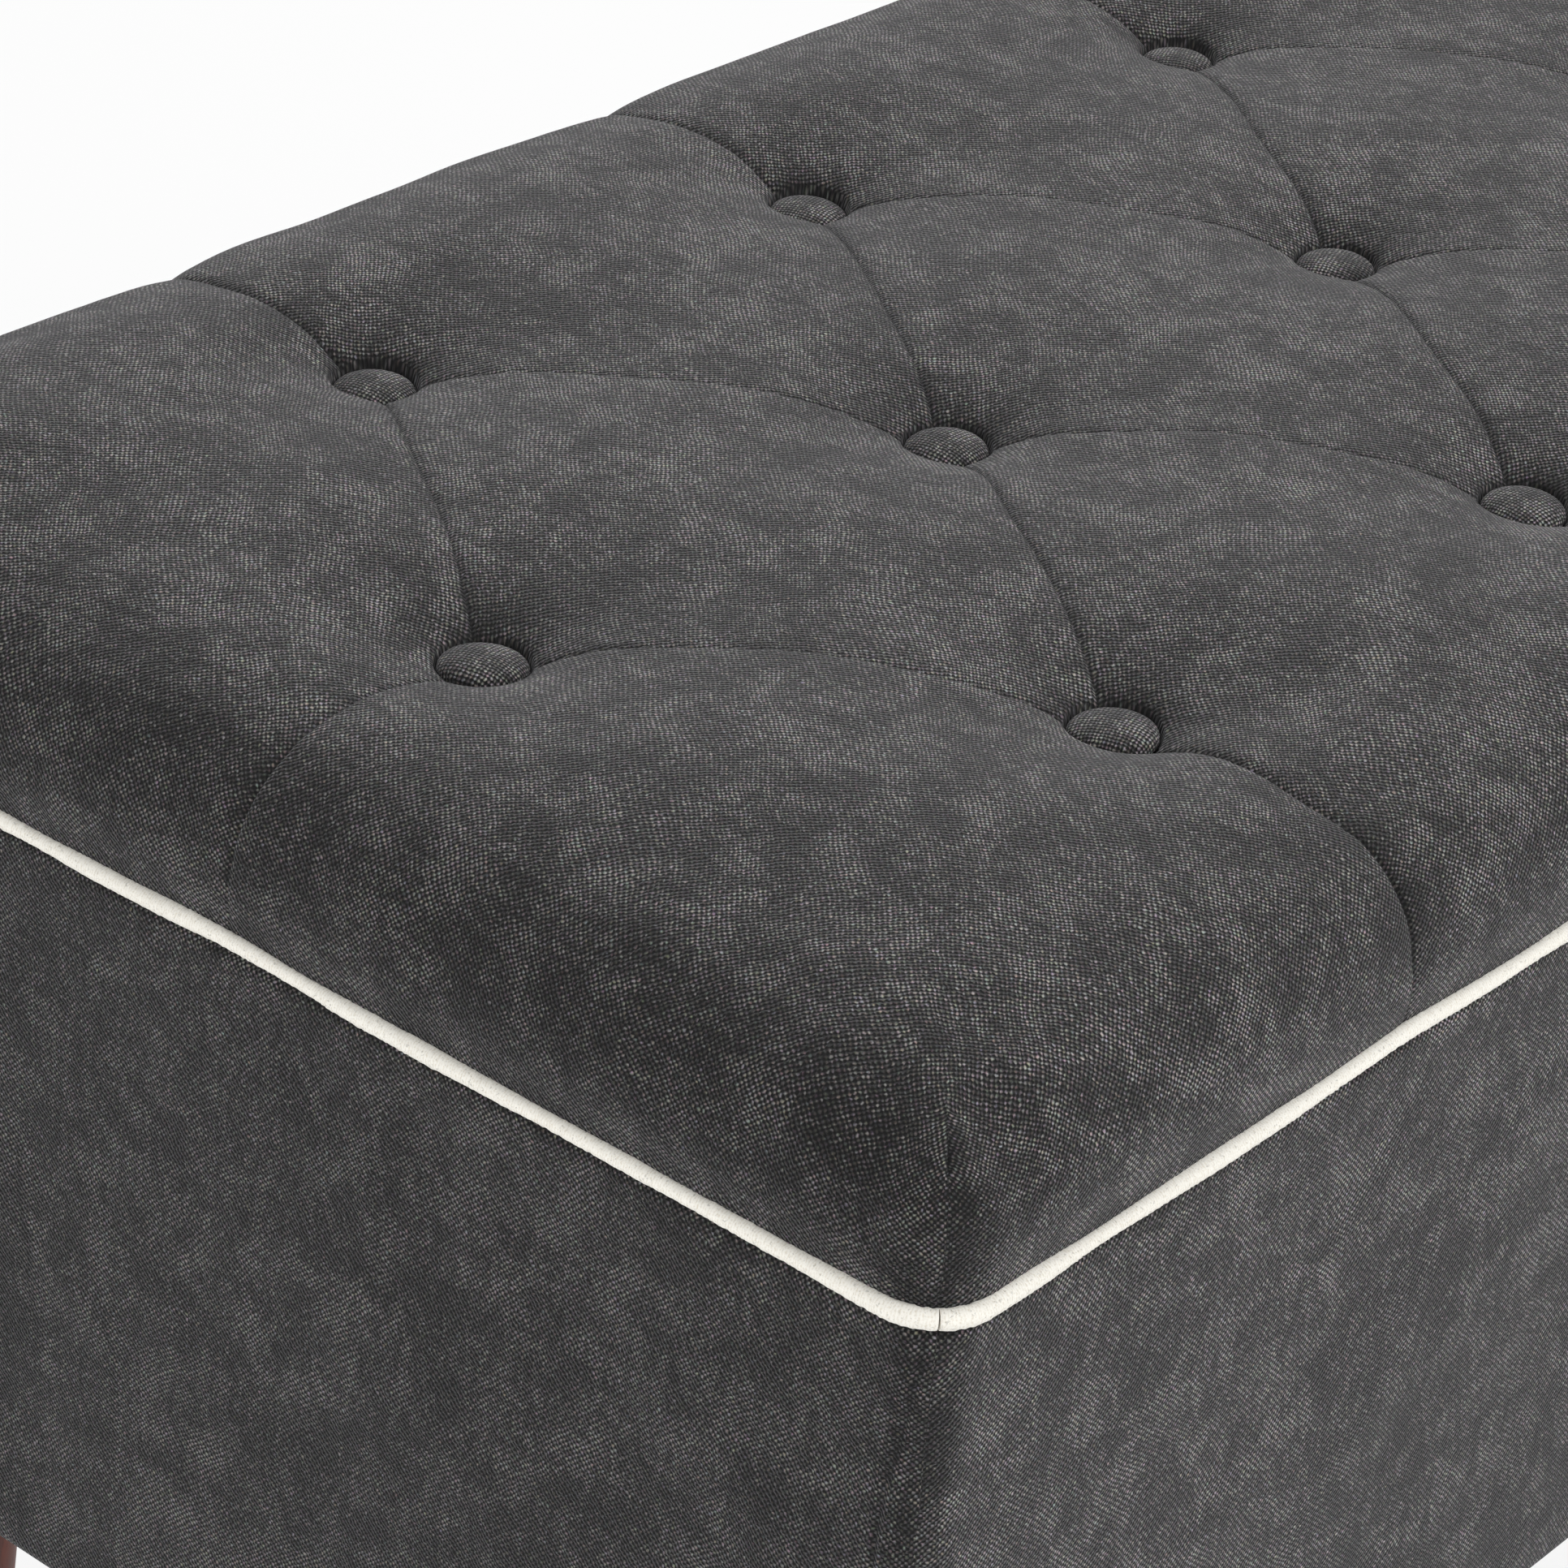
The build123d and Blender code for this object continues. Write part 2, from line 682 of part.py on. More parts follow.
# Tufted lid
def lid_outline(half_size, inset, base_z):
    """Right half of the lid seen from an end: flat middle, crown and round shoulder."""
    flat_end = half_size - shoulder_radius + (shoulder_radius - crown_radius) * sin(crown_slope)
    top = Line((0, crown_z - inset), (flat_end, crown_z - inset))
    crown = JernArc(top @ 1, (1, 0), crown_radius - inset, -crown_angle)
    shoulder = JernArc(crown @ 1, crown % 1, shoulder_radius - inset, -(90 - crown_angle))
    Polyline(shoulder @ 1, (half_size - inset, base_z), (0, base_z), (0, crown_z - inset))


def pleat_section(depth):
    """V of a pleat, its point a depth below the fabric's level."""
    half_width = (depth + overrun) * pleat_slope
    Polyline((-half_width, overrun), (half_width, overrun), (0, -depth), close=True)


def long_pleat(length):
    """Pleat between two buttons, deep at both ends and shallow halfway, along X."""
    stations = ((0, pleat_button_depth), (length / 2, pleat_depth), (length, pleat_button_depth))
    with BuildPart() as pleat:
        for station, depth in stations:
            with BuildSketch(Plane(origin=(station, 0, 0), x_dir=(0, 1, 0), z_dir=(1, 0, 0))):
                with BuildLine():
                    pleat_section(depth)
                make_face()
        loft(ruled=True)
    return pleat.part


def short_pleat(length):
    """Pleat from a button towards the edge, deep at the button only, along X."""
    with BuildPart() as pleat:
        for station, depth in ((0, pleat_button_depth), (length, pleat_depth)):
            with BuildSketch(Plane(origin=(station, 0, 0), x_dir=(0, 1, 0), z_dir=(1, 0, 0))):
                with BuildLine():
                    pleat_section(depth)
                make_face()
        loft(ruled=True)
    return pleat.part


def edge_pleat(half_size, inset, base_z):
    """Pleat that runs over the shoulder and down the side, towards +X."""
    shoulder_arc = shoulder_radius - inset
    side_arc = side_radius - inset
    flat_end = half_size - shoulder_radius + (shoulder_radius - crown_radius) * sin(crown_slope)
    side_angle = degrees(asin((widest_z - base_z + overrun) / side_arc))
    with BuildPart() as pleat:
        with BuildLine(Plane.XZ) as route:
            crown = JernArc((flat_end, crown_z - inset), (1, 0), crown_radius - inset, -crown_angle)
            shoulder = JernArc(crown @ 1, crown % 1, shoulder_arc, -(90 - crown_angle))
            JernArc(shoulder @ 1, shoulder % 1, side_arc, -side_angle)
        start = route.line @ 0
        with BuildSketch(Plane(origin=start, x_dir=(0, 1, 0), z_dir=(1, 0, 0))):
            with BuildLine():
                pleat_section(pleat_depth)
            make_face()
        sweep()
    return pleat.part


def dimple():
    """Flared hollow round a button, its rim a little above the crown."""
    depth = crown_z - dimple_floor_z
    drop = depth + overrun
    run = dimple_mouth_radius - dimple_floor_radius
    flare = (run**2 + drop**2) / (2 * drop)
    with BuildPart() as hollow:
        with BuildSketch(Plane.XZ):
            with BuildLine():
                Line((dimple_floor_radius, -depth), (0, -depth))
                Line((0, -depth), (0, overrun))
                Line((0, overrun), (dimple_mouth_radius, overrun))
                JernArc((dimple_mouth_radius, overrun), (-1, 0), flare, degrees(asin(run / flare)))
            make_face()
        revolve(axis=Axis.Z)
    return hollow.part


def tufted_pad(inset, base_z):
    """The whole lid's form, smaller by an inset on its top and sides."""
    base_tuck = inset + side_tuck * (widest_z - base_z) / side_rise
    with BuildPart() as pad:
        with BuildSketch(Plane.XY.offset(base_z)):
            RectangleRounded(
                2 * (lid_half_length - base_tuck),
                2 * (lid_half_width - base_tuck),
                lid_corner_radius - base_tuck,
            )
        extrude(amount=widest_z - base_z, taper=-degrees(atan2(side_tuck, side_rise)))
        with BuildSketch(Plane.XY.offset(widest_z)):
            RectangleRounded(
                2 * (lid_half_length - inset), 2 * (lid_half_width - inset), lid_corner_radius - inset
            )
        extrude(amount=crown_z - widest_z)
        with BuildSketch(Plane.YZ):
            with BuildLine():
                lid_outline(lid_half_width, inset, base_z)
            make_face()
            mirror(about=Plane.YZ)
        extrude(amount=lid_half_length, both=True, mode=Mode.INTERSECT)
        with BuildSketch(Plane.XZ):
            with BuildLine():
                lid_outline(lid_half_length, inset, base_z)
            make_face()
            mirror(about=Plane.YZ)
        extrude(amount=lid_half_width, both=True, mode=Mode.INTERSECT)

        level = crown_z - inset
        diagonal = hypot(button_pitch / 2, row_spacing)
        turn = degrees(atan2(row_spacing, button_pitch / 2))
        diagonals = []
        for x in centre_xs:
            for step, angle in ((-1, 180 - turn), (1, turn)):
                if abs(x + step * button_pitch / 2) <= max(outer_xs):
                    diagonals += [Location((x, 0, level), (0, 0, turn_to)) for turn_to in (angle, -angle)]
        with Locations(*diagonals):
            add(long_pleat(diagonal), mode=Mode.SUBTRACT)
        front_ends = [Location((x, -row_spacing, level), (0, 0, -90)) for x in outer_xs]
        back_ends = [Location((x, row_spacing, level), (0, 0, 90)) for x in outer_xs]
        side_ends = [Location((max(centre_xs), 0, level)), Location((min(centre_xs), 0, level), (0, 0, 180))]
        with Locations(*front_ends, *back_ends, *side_ends):
            add(short_pleat(side_margin / 2), mode=Mode.SUBTRACT)
        edge_turns = [Location((x, 0, 0), (0, 0, angle)) for x in outer_xs for angle in (90, -90)]
        with Locations(*edge_turns):
            add(edge_pleat(lid_half_width, inset, base_z), mode=Mode.SUBTRACT)
        with Locations(Location((0, 0, 0)), Location((0, 0, 0), (0, 0, 180))):
            add(edge_pleat(lid_half_length, inset, base_z), mode=Mode.SUBTRACT)
        with Locations(*[(x, y, level) for x, y in button_places]):
            add(dimple(), mode=Mode.SUBTRACT)
    return pad.part


with BuildPart() as tie_washers:
    with Locations(*[(x, y, board_bottom_z) for x, y in button_places]):
        Cylinder(tie_washer_radius, tie_washer_thickness, align=(Align.CENTER, Align.CENTER, Align.MAX))
        Cylinder(
            tie_radius,
            tie_washer_thickness,
            align=(Align.CENTER, Align.CENTER, Align.MAX),
            mode=Mode.SUBTRACT,
        )

with BuildPart() as button_ties:
    tie_bottom_z = board_bottom_z - tie_washer_thickness
    with Locations(*[(x, y, tie_bottom_z) for x, y in button_places]):
        Cylinder(tie_radius, button_base_z - tie_bottom_z, align=(Align.CENTER, Align.CENTER, Align.MIN))


def button_outline(radius, height, dome):
    """Half section of a domed button standing on its base."""
    rim = (radius, height - dome)
    Line((0, 0), (radius - button_skin_thickness, 0))
    Line((radius - button_skin_thickness, 0), rim)
    TangentArc((0, height), rim, tangent=(1, 0))
    Line((0, height), (0, 0))


with BuildPart() as one_shell:
    with BuildSketch(Plane.XZ):
        with BuildLine():
            button_outline(
                button_radius - button_skin_thickness,
                button_height - button_skin_thickness,
                button_dome_height,
            )
        make_face()
    revolve(axis=Axis.Z)

with BuildPart() as one_skin:
    with BuildSketch(Plane.XZ):
        with BuildLine():
            button_outline(button_radius, button_height, button_dome_height)
        make_face()
    revolve(axis=Axis.Z)
    add(one_shell.part, mode=Mode.SUBTRACT)

with BuildPart() as button_shells:
    with Locations(*[(x, y, button_base_z) for x, y in button_places]):
        add(one_shell.part)

with BuildPart() as button_covers:
    with Locations(*[(x, y, button_base_z) for x, y in button_places]):
        add(one_skin.part)

with BuildPart() as lid_board:
    with BuildSketch(Plane.XY.offset(board_bottom_z)):
        RectangleRounded(board_length, board_width, board_corner_radius)
    extrude(amount=board_thickness)
    board_block = lid_board.part
    add(button_ties.part, mode=Mode.SUBTRACT)
    add(hinge_lid_screws.part, mode=Mode.SUBTRACT)
    add(stay_lid_screws.part, mode=Mode.SUBTRACT)

with BuildPart() as lid_foam:
    add(tufted_pad(cover_thickness + foam_clearance, board_bottom_z))
    add(board_block, mode=Mode.SUBTRACT)
    add(button_ties.part, mode=Mode.SUBTRACT)

with BuildPart() as lid_cover:
    add(tufted_pad(0, lid_bottom_z))
    add(tufted_pad(cover_thickness, board_bottom_z), mode=Mode.SUBTRACT)
    with BuildSketch(Plane.XY.offset(lid_bottom_z)):
        Rectangle(box_length - 2 * under_hem_width, box_width - 2 * under_hem_width)
    extrude(amount=cover_thickness, mode=Mode.SUBTRACT)
    add(button_ties.part, mode=Mode.SUBTRACT)
    add(hinge_lid_screws.part, mode=Mode.SUBTRACT)

with BuildPart() as lid_lining:
    with BuildSketch(Plane.XY.offset(lid_lining_bottom_z)):
        Rectangle(store_length - 2 * lid_lining_margin, store_width - 2 * lid_lining_margin)
    extrude(amount=lining_thickness)
    add(stay_lid_screws.part, mode=Mode.SUBTRACT)

# Piping, pressed flat where the hinge leaves cross it
piping_half_length = box_length / 2
piping_half_width = box_width / 2
flange_outer = piping_radius / 2
with BuildPart() as lid_piping:
    with BuildLine(Plane.XY.offset(piping_z)) as piping_route:
        FilletPolyline(
            (-piping_half_length, -piping_half_width),
            (piping_half_length, -piping_half_width),
            (piping_half_length, piping_half_width),
            (-piping_half_length, piping_half_width),
            radius=piping_corner_radius,
            close=True,
        )
    with BuildSketch(Plane(origin=piping_route.line @ 0, z_dir=piping_route.line % 0)):
        Circle(piping_radius)
    sweep()
    with BuildSketch(Plane.XY.offset(lid_bottom_z - piping_flange_thickness)):
        RectangleRounded(
            box_length - 2 * flange_outer, box_width - 2 * flange_outer, piping_corner_radius - flange_outer
        )
        flange_inner = flange_outer + piping_flange_width
        RectangleRounded(
            box_length - 2 * flange_inner,
            box_width - 2 * flange_inner,
            piping_corner_radius - flange_inner,
            mode=Mode.SUBTRACT,
        )
    extrude(amount=piping_flange_thickness)
    with Locations(*[(x, hinge_y, lid_bottom_z) for x in hinge_xs]):
        Box(
            hinge_width + 2 * piping_hinge_room,
            lid_leaf_width,
            lid_gap,
            align=(Align.CENTER, Align.MAX, Align.MAX),
            mode=Mode.SUBTRACT,
        )

nodes = {
    "front_panel": front_panel,
    "back_panel": back_panel,
    **end_panels,
    "leg_blocks": leg_blocks,
    "bottom_cleats": bottom_cleats,
    "centre_rail": centre_rail,
    "bottom_panel": bottom_panel,
    "panel_screws": panel_screws,
    "cleat_screws": cleat_screws,
    "bottom_panel_screws": bottom_panel_screws,
    **legs,
    "leg_bolts": leg_bolts,
    "leg_plates": leg_plates,
    "leg_plate_screws": leg_plate_screws,
    "foot_glides": foot_glides,
    "box_padding": box_padding,
    "box_cover": box_cover,
    "box_lining": box_lining,
    "floor_liner": floor_liner,
    "dust_cover": dust_cover,
    "lid_bumpers": lid_bumpers,
    "hinge_box_leaves": hinge_box_leaves,
    "hinge_pins": hinge_pins,
    "hinge_box_screws": hinge_box_screws,
    "stay_box_brackets": stay_box_brackets,
    "stay_box_screws": stay_box_screws,
    "stay_box_rivets": stay_box_rivets,
    "lid_board": lid_board,
    "lid_foam": lid_foam,
    "lid_cover": lid_cover,
    "lid_piping": lid_piping,
    "lid_lining": lid_lining,
    "button_covers": button_covers,
    "button_shells": button_shells,
    "button_ties": button_ties,
    "tie_washers": tie_washers,
    "hinge_lid_leaves": hinge_lid_leaves,
    "hinge_lid_screws": hinge_lid_screws,
    "stay_lid_brackets": stay_lid_brackets,
    "stay_lid_screws": stay_lid_screws,
    "stay_lid_rivets": stay_lid_rivets,
    **lower_arms,
    **upper_arms,
    **knee_rivets,
}

os.makedirs("parts", exist_ok=True)
for node_name, node in nodes.items():
    node.part.label = node_name
    export_step(node.part, "parts/" + node_name + ".step")
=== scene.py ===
"""Tufted storage bench: upholstery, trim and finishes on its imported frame."""

import math

import bmesh
import bpy
import numpy as np
from bpy.props import FloatProperty, FloatVectorProperty, IntProperty, PointerProperty
from mathutils import Matrix, Vector
from mathutils.geometry import delaunay_2d_cdt
from mathutils.kdtree import KDTree


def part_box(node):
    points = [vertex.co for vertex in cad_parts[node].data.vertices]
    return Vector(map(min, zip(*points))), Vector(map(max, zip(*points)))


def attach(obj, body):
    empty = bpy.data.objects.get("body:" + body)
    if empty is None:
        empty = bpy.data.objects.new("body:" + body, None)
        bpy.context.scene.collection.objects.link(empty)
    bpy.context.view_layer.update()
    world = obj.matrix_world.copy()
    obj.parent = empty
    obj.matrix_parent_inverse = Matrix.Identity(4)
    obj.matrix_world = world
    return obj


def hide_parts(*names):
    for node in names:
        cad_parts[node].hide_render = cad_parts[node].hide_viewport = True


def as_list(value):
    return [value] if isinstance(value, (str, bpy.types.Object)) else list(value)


bl_info = {
    "name": "Tufted Storage Bench",
    "version": (1, 0, 0),
    "blender": (4, 5, 0),
    "location": "View3D > Sidebar > Bench",
    "description": "Upholstery, trim, finishes and a studio for a tufted storage bench",
    "category": "Object",
}

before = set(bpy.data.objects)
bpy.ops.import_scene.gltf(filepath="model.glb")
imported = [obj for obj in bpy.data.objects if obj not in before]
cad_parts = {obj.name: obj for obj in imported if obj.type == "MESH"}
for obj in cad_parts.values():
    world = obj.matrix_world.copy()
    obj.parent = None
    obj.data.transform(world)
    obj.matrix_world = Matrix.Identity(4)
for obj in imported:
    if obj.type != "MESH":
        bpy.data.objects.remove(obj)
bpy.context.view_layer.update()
MM = 0.001
BUTTONS_IN_MIDDLE, BUTTONS_IN_OUTER = 6, 5
SIDES = ((1, 0), (0, 1), (-1, 0), (0, -1))


def node_box(name):
    """Lowest and highest corner of a frame node, in millimetres."""
    low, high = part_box(name)
    return np.array(low) / MM, np.array(high) / MM


LID_LOW, LID_HIGH = node_box("lid_cover")
BOX_LOW, BOX_HIGH = node_box("box_cover")
PIPING_LOW, PIPING_HIGH = node_box("lid_piping")
BUTTONS_LOW, BUTTONS_HIGH = node_box("button_covers")


# Properties
def length(name, description, default):
    """A size in metres that the sidebar shows."""
    limits = {"min": 0.0, "precision": 4, "unit": "LENGTH", "subtype": "DISTANCE"}
    return FloatProperty(name=name, description=description, default=default, **limits)


def share(name, description, default):
    """A plain factor from zero to one."""
    limits = {"min": 0.0, "max": 1.0, "subtype": "FACTOR"}
    return FloatProperty(name=name, description=description, default=default, **limits)


def colour(name, description, default):
    """A colour in linear values."""
    limits = {"min": 0.0, "max": 1.0, "size": 3, "subtype": "COLOR"}
    return FloatVectorProperty(name=name, description=description, default=default, **limits)


def power(name, default):
    """A lamp's power in watts."""
    return FloatProperty(name=name, description=f"Power of the {name.lower()}", default=default, unit="POWER")


class BenchSizes(bpy.types.PropertyGroup):
    """Sizes of the upholstery and trim"""

    button_pitch: length("Button pitch", "Distance between buttons along a row", 0.18)
    row_spacing: length("Row spacing", "Distance between rows of buttons", 0.125)
    crown_radius: length("Crown radius", "Radius of the pad's top towards its edges", 0.5)
    crown_angle: FloatProperty(
        name="Crown angle",
        description="Slope where the crown meets the shoulder",
        default=math.radians(11.0),
        subtype="ANGLE",
        unit="ROTATION",
    )
    shoulder_radius: length("Shoulder radius", "Radius of the pad's shoulder", 0.024)
    side_rise: length("Side rise", "Height of the pad's side below its shoulder", 0.0248)
    side_tuck: length("Side tuck", "How far the pad's side draws in at the piping", 0.0018)
    lid_corner_radius: length("Lid corner radius", "Plan radius of the lid's corners", 0.0205)
    button_radius: length("Button radius", "Radius of a covered button", 0.0115)
    seat_drop: length("Button seat drop", "Depth of a button's seat below the crown", 0.0167)
    rim_drop: length("Button rim drop", "Depth of the fabric at a button's rim", 0.0106)
    dimple_flare: length("Dimple flare", "How far the hollow round a button reaches", 0.0175)
    pleat_drop: length("Pleat drop", "Depth of a pleat halfway between two buttons", 0.0008)
    pleat_end_drop: length("Pleat end drop", "Extra depth of a pleat beside a button", 0.0026)
    edge_pleat_drop: length("Edge pleat drop", "Depth of a pleat that runs over the shoulder", 0.0024)
    pleat_slack: share("Slack pleats", "Strength of the pleats that cross the pile's lay", 0.6)
    shoulder_pull: share("Shoulder pull", "How much deeper the edge pleats draw in over the shoulder", 0.45)
    corner_softness: length("Corner softness", "How far the pad's corners are pressed in", 0.0028)
    rear_fullness: length("Rear fullness", "How much fuller the pad is along its back edge", 0.0062)
    panel_spacing: length("Mesh spacing", "Distance between points on the plain parts of the pad", 0.0055)
    cloth_spacing: length("Cloth spacing", "Size of the even mesh that the pad swells on", 0.006)
    cloth_swell: length("Cloth swell", "Most that the pad's cover may swell", 0.0024)
    cloth_side_swell: length("Cloth side swell", "Most that the pad's sides may swell", 0.0012)
    box_corner_radius: length("Box corner radius", "Plan radius of the box's corners", 0.0135)
    box_edge_radius: length("Box edge radius", "Radius of the box's top and bottom edges", 0.003)
    piping_radius: length("Piping radius", "Radius of the piping cord", 0.0024)
    piping_corner_radius: length("Piping corner radius", "Plan radius of the piping's corners", 0.0155)
    piping_gap: length("Piping joint gap", "Gap between the piping's two ends", 0.00035)


class BenchFinishes(bpy.types.PropertyGroup):
    """Colours and textures"""

    fabric_dark: colour("Fabric dark", "Charcoal fabric in its darkest patches", (0.0205, 0.0190, 0.0188))
    fabric_base: colour("Fabric", "Charcoal fabric's main colour", (0.060, 0.0555, 0.0545))
    fabric_light: colour("Fabric light", "Charcoal fabric where the pile is rubbed", (0.136, 0.128, 0.125))
    # Painted shade: how much the fabric darkens on faces turned towards -X and along its folds.
    painted_end_shade_strength: share("Nap shade", "How much darker the pile looks against its lay", 0.44)
    thread_pitch: length("Thread pitch", "Distance between the fabric's threads", 0.00082)
    piping_colour: colour("Piping", "Ivory piping", (0.86, 0.84, 0.775))
    lining_colour: colour("Lining", "Black lining", (0.012, 0.012, 0.013))
    wood_colour: colour("Legs", "Stained wood of the legs", (0.130, 0.032, 0.019))
    frame_wood_colour: colour("Frame wood", "Bare wood of the frame", (0.52, 0.36, 0.21))
    steel_colour: colour("Steel", "Zinc plated steel", (0.62, 0.62, 0.60))


class BenchStage(bpy.types.PropertyGroup):
    """Studio and camera"""

    key_power: power("Key light", 53.0)
    fill_power: power("Fill light", 32.0)
    top_power: power("Top light", 27.0)
    sky_strength: FloatProperty(name="Sky", description="Strength of the even light all round", default=0.42)
    floor_colour: colour("Floor", "Pale studio floor", (0.86, 0.86, 0.86))
    lens: FloatProperty(name="Lens", description="Camera's focal length in millimetres", default=121.47)
    segments: IntProperty(name="Floor segments", description="Corners of the round studio floor", default=24)


# Small helpers for meshes
def place_object(name, data):
    """A new object in the scene."""
    made = bpy.data.objects.new(name, data)
    bpy.context.scene.collection.objects.link(made)
    return made


def evaluated(holder):
    """An object with its modifiers applied."""
    return holder.evaluated_get(bpy.context.evaluated_depsgraph_get())


def make_mesh(name, points, faces, loop_uv=None, smooth=True):
    """A mesh from points in millimetres, its faces and each face corner's place on the cloth."""
    mesh = bpy.data.meshes.new(name)
    mesh.from_pydata((np.asarray(points, float) * MM).tolist(), [], [list(map(int, f)) for f in faces])
    if loop_uv is not None:
        layer = mesh.uv_layers.new(name="Cloth")
        layer.data.foreach_set("uv", (np.asarray(loop_uv, np.float32) * MM).ravel())
    mesh.polygons.foreach_set("use_smooth", [smooth] * len(mesh.polygons))
    mesh.update()
    return mesh


def add_piece(name, mesh, finish_name, body, stands_for, slot):
    """A finished piece on its body, in place of the frame's nodes that it stands for."""
    mesh.name = name
    mesh.materials.clear()
    mesh.materials.append(finish(finish_name))
    piece = place_object(name, mesh)
    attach(piece, body)
    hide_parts(*stands_for)
    return piece


def store(mesh, name, values):
    """A float on each point, for a material to read."""
    layer = mesh.attributes.new(name, "FLOAT", "POINT")
    layer.data.foreach_set("value", np.asarray(values, np.float32))


def brush(mesh):
    """Mark how far each point of a fabric faces the -X end, for painted shade on that end, with more painted
    shade along its folds.
    """
    count = len(mesh.vertices)
    normals, fold = np.empty(count * 3), np.empty(count)
    mesh.vertex_normals.foreach_get("vector", normals)
    mesh.attributes["fold"].data.foreach_get("value", fold)
    away = -normals.reshape(-1, 3)[:, 0]
    store(mesh, "nap", np.minimum(smooth_step(away, -0.03, 0.62) + 0.6 * fold, 1.0))


def read_points(mesh):
    """A mesh's points in millimetres."""
    points = np.empty(len(mesh.vertices) * 3)
    mesh.vertices.foreach_get("co", points)
    return points.reshape(-1, 3) / MM


def write_points(mesh, points):
    """Move a mesh's points to places in millimetres."""
    mesh.vertices.foreach_set("co", (points * MM).ravel())
    mesh.update()


def waves(x, y, size, seed):
    """Gentle irregular waves from minus one to one, about a size apart, the same every time."""
    rng = np.random.default_rng(seed)
    total = np.zeros_like(x, dtype=float)
    draws = [rng.uniform(low, high, 7) for low, high in ((0, math.pi), (0, 6.28), (0.7, 1.6))]
    for angle, phase, stretch in zip(*draws):
        total += np.sin((x * np.cos(angle) + y * np.sin(angle)) * 2 * math.pi / (size * stretch) + phase)
    return total / 4.2


def smooth_step(value, start, end):
    """From zero at start to one at end."""
    t = np.clip((value - start) / (end - start), 0, 1)
    return t * t * (3 - 2 * t)


def bell(value, middle, width):
    """One at the middle, falling away over the width on both sides."""
    curve = np.exp if isinstance(value, np.ndarray) else math.exp
    return curve(-(((value - middle) / width) ** 2))


def tree_of(points):
    """A tree that finds the points nearest to a place; plan points lie at height zero."""
    tree = KDTree(len(points))
    for i, p in enumerate(points):
        tree.insert((*p, 0.0)[:3], i)
    tree.balance()
    return tree


def corner_point(signs, centre, radius, angle):
    """A plan point on one of four rounded corners."""
    return np.array(signs) * centre + radius * np.array([math.cos(angle), math.sin(angle)])


def side_axes(side):
    """Unit steps along one side of a rectangle and out from it."""
    along, up = SIDES[side]
    return np.array([along, up], float), np.array([up, -along], float)


class Outline:
    """Stations round a rectangle with rounded corners, each with a base point and an outward direction."""

    def __init__(self, half, centre, corner_base, along_x, along_y, corner_angles):
        self.centre, self.corner_base = centre, corner_base
        self.base, self.normal, self.side, self.path = [], [], [], []
        quarter = math.pi / 2
        for number in range(4):
            direction, outward = side_axes(number)
            stations, after = (along_y, along_x) if number % 2 else (along_x, along_y)
            for s in stations:
                self.add(direction * s + outward * half[1 - number % 2], outward, number, s)
            corner = centre * (direction + outward)
            start = math.atan2(outward[1], outward[0])
            for angle in corner_angles:
                normal = np.array([math.cos(start + angle), math.sin(start + angle)])
                place = corner + normal * corner_base
                if angle <= quarter / 2 + 1e-9:
                    self.add(place, normal, number, (stations[-1], angle))
                else:
                    self.add(place, normal, (number + 1) % 4, (-after[-1], angle - quarter))
        self.base, self.normal, self.side = np.array(self.base), np.array(self.normal), np.array(self.side)
        self.count = len(self.base)

    def add(self, base, normal, side, path):
        self.base.append(base)
        self.normal.append(normal)
        self.side.append(side)
        self.path.append(path)

    def along(self, station, offset):
        """Distance of a station along its side's cloth, at an offset from the base."""
        path = self.path[station]
        if not isinstance(path, tuple):
            return path
        end, turn = path
        return end + turn * (self.corner_base + offset)

    def plan(self, offset):
        """Every station moved outwards by an offset."""
        return self.base + self.normal * np.asarray(offset).reshape(-1, 1)

    def shrunk(self, half, scale):
        """Every station on a smaller sharp-cornered rectangle."""
        return np.where(np.abs(self.normal) > 0.999, self.normal * half, self.base * scale)

    def quad_places(self, offsets, place):
        """Cloth places of the quads between two rings: place(side, along, ring) for every corner."""
        rows = []
        for i in range(self.count):
            j = (i + 1) % self.count
            side = int(self.side[j])
            for k, ring in ((i, 0), (j, 0), (j, 1), (i, 1)):
                if self.side[k] == side:
                    along = self.along(k, offsets[ring])
                else:
                    along = self.path[j][0] - math.pi / 4 * (self.corner_base + offsets[ring])
                rows.append(place(side, along, ring))
        return rows


def ring_faces(lower, upper):
    """Quads between two closed rings of point numbers, facing away from the middle."""
    after = np.roll(np.arange(len(lower)), -1)
    return np.stack([lower, lower[after], upper[after], upper], axis=1).tolist()


# Node helpers
class Nodes:
    """Adds and joins the nodes of one tree."""

    def __init__(self, tree):
        self.tree = tree

    def node(self, kind, inputs=None, **settings):
        """A node with its settings, and its inputs by name or number."""
        made = self.tree.nodes.new(kind)
        for key, value in settings.items():
            setattr(made, key, value)
        for key, value in (inputs or {}).items():
            self.feed(made.inputs[key], value)
        return made

    def feed(self, socket, value):
        """Join a socket to another, or set its value; None leaves it as it is."""
        if isinstance(value, bpy.types.NodeSocket):
            self.tree.links.new(value, socket)
        elif value is not None:
            socket.default_value = value

    def math(self, operation, first, second=None, third=None):
        return self.node("ShaderNodeMath", {0: first, 1: second, 2: third}, operation=operation).outputs[0]

    def vector(self, operation, first, second=None):
        key = "Scale" if operation == "SCALE" else 1
        return self.node("ShaderNodeVectorMath", {0: first, key: second}, operation=operation).outputs[0]

    def join(self, x, y, z=0.0):
        return self.node("ShaderNodeCombineXYZ", {0: x, 1: y, 2: z}).outputs[0]

    def noise(self, vector, scale, detail=3.0, roughness=0.5, distortion=0.0, colour=False):
        values = {
            "Vector": vector,
            "Scale": scale,
            "Detail": detail,
            "Roughness": roughness,
            "Distortion": distortion,
        }
        return self.node("ShaderNodeTexNoise", values).outputs["Color" if colour else "Fac"]


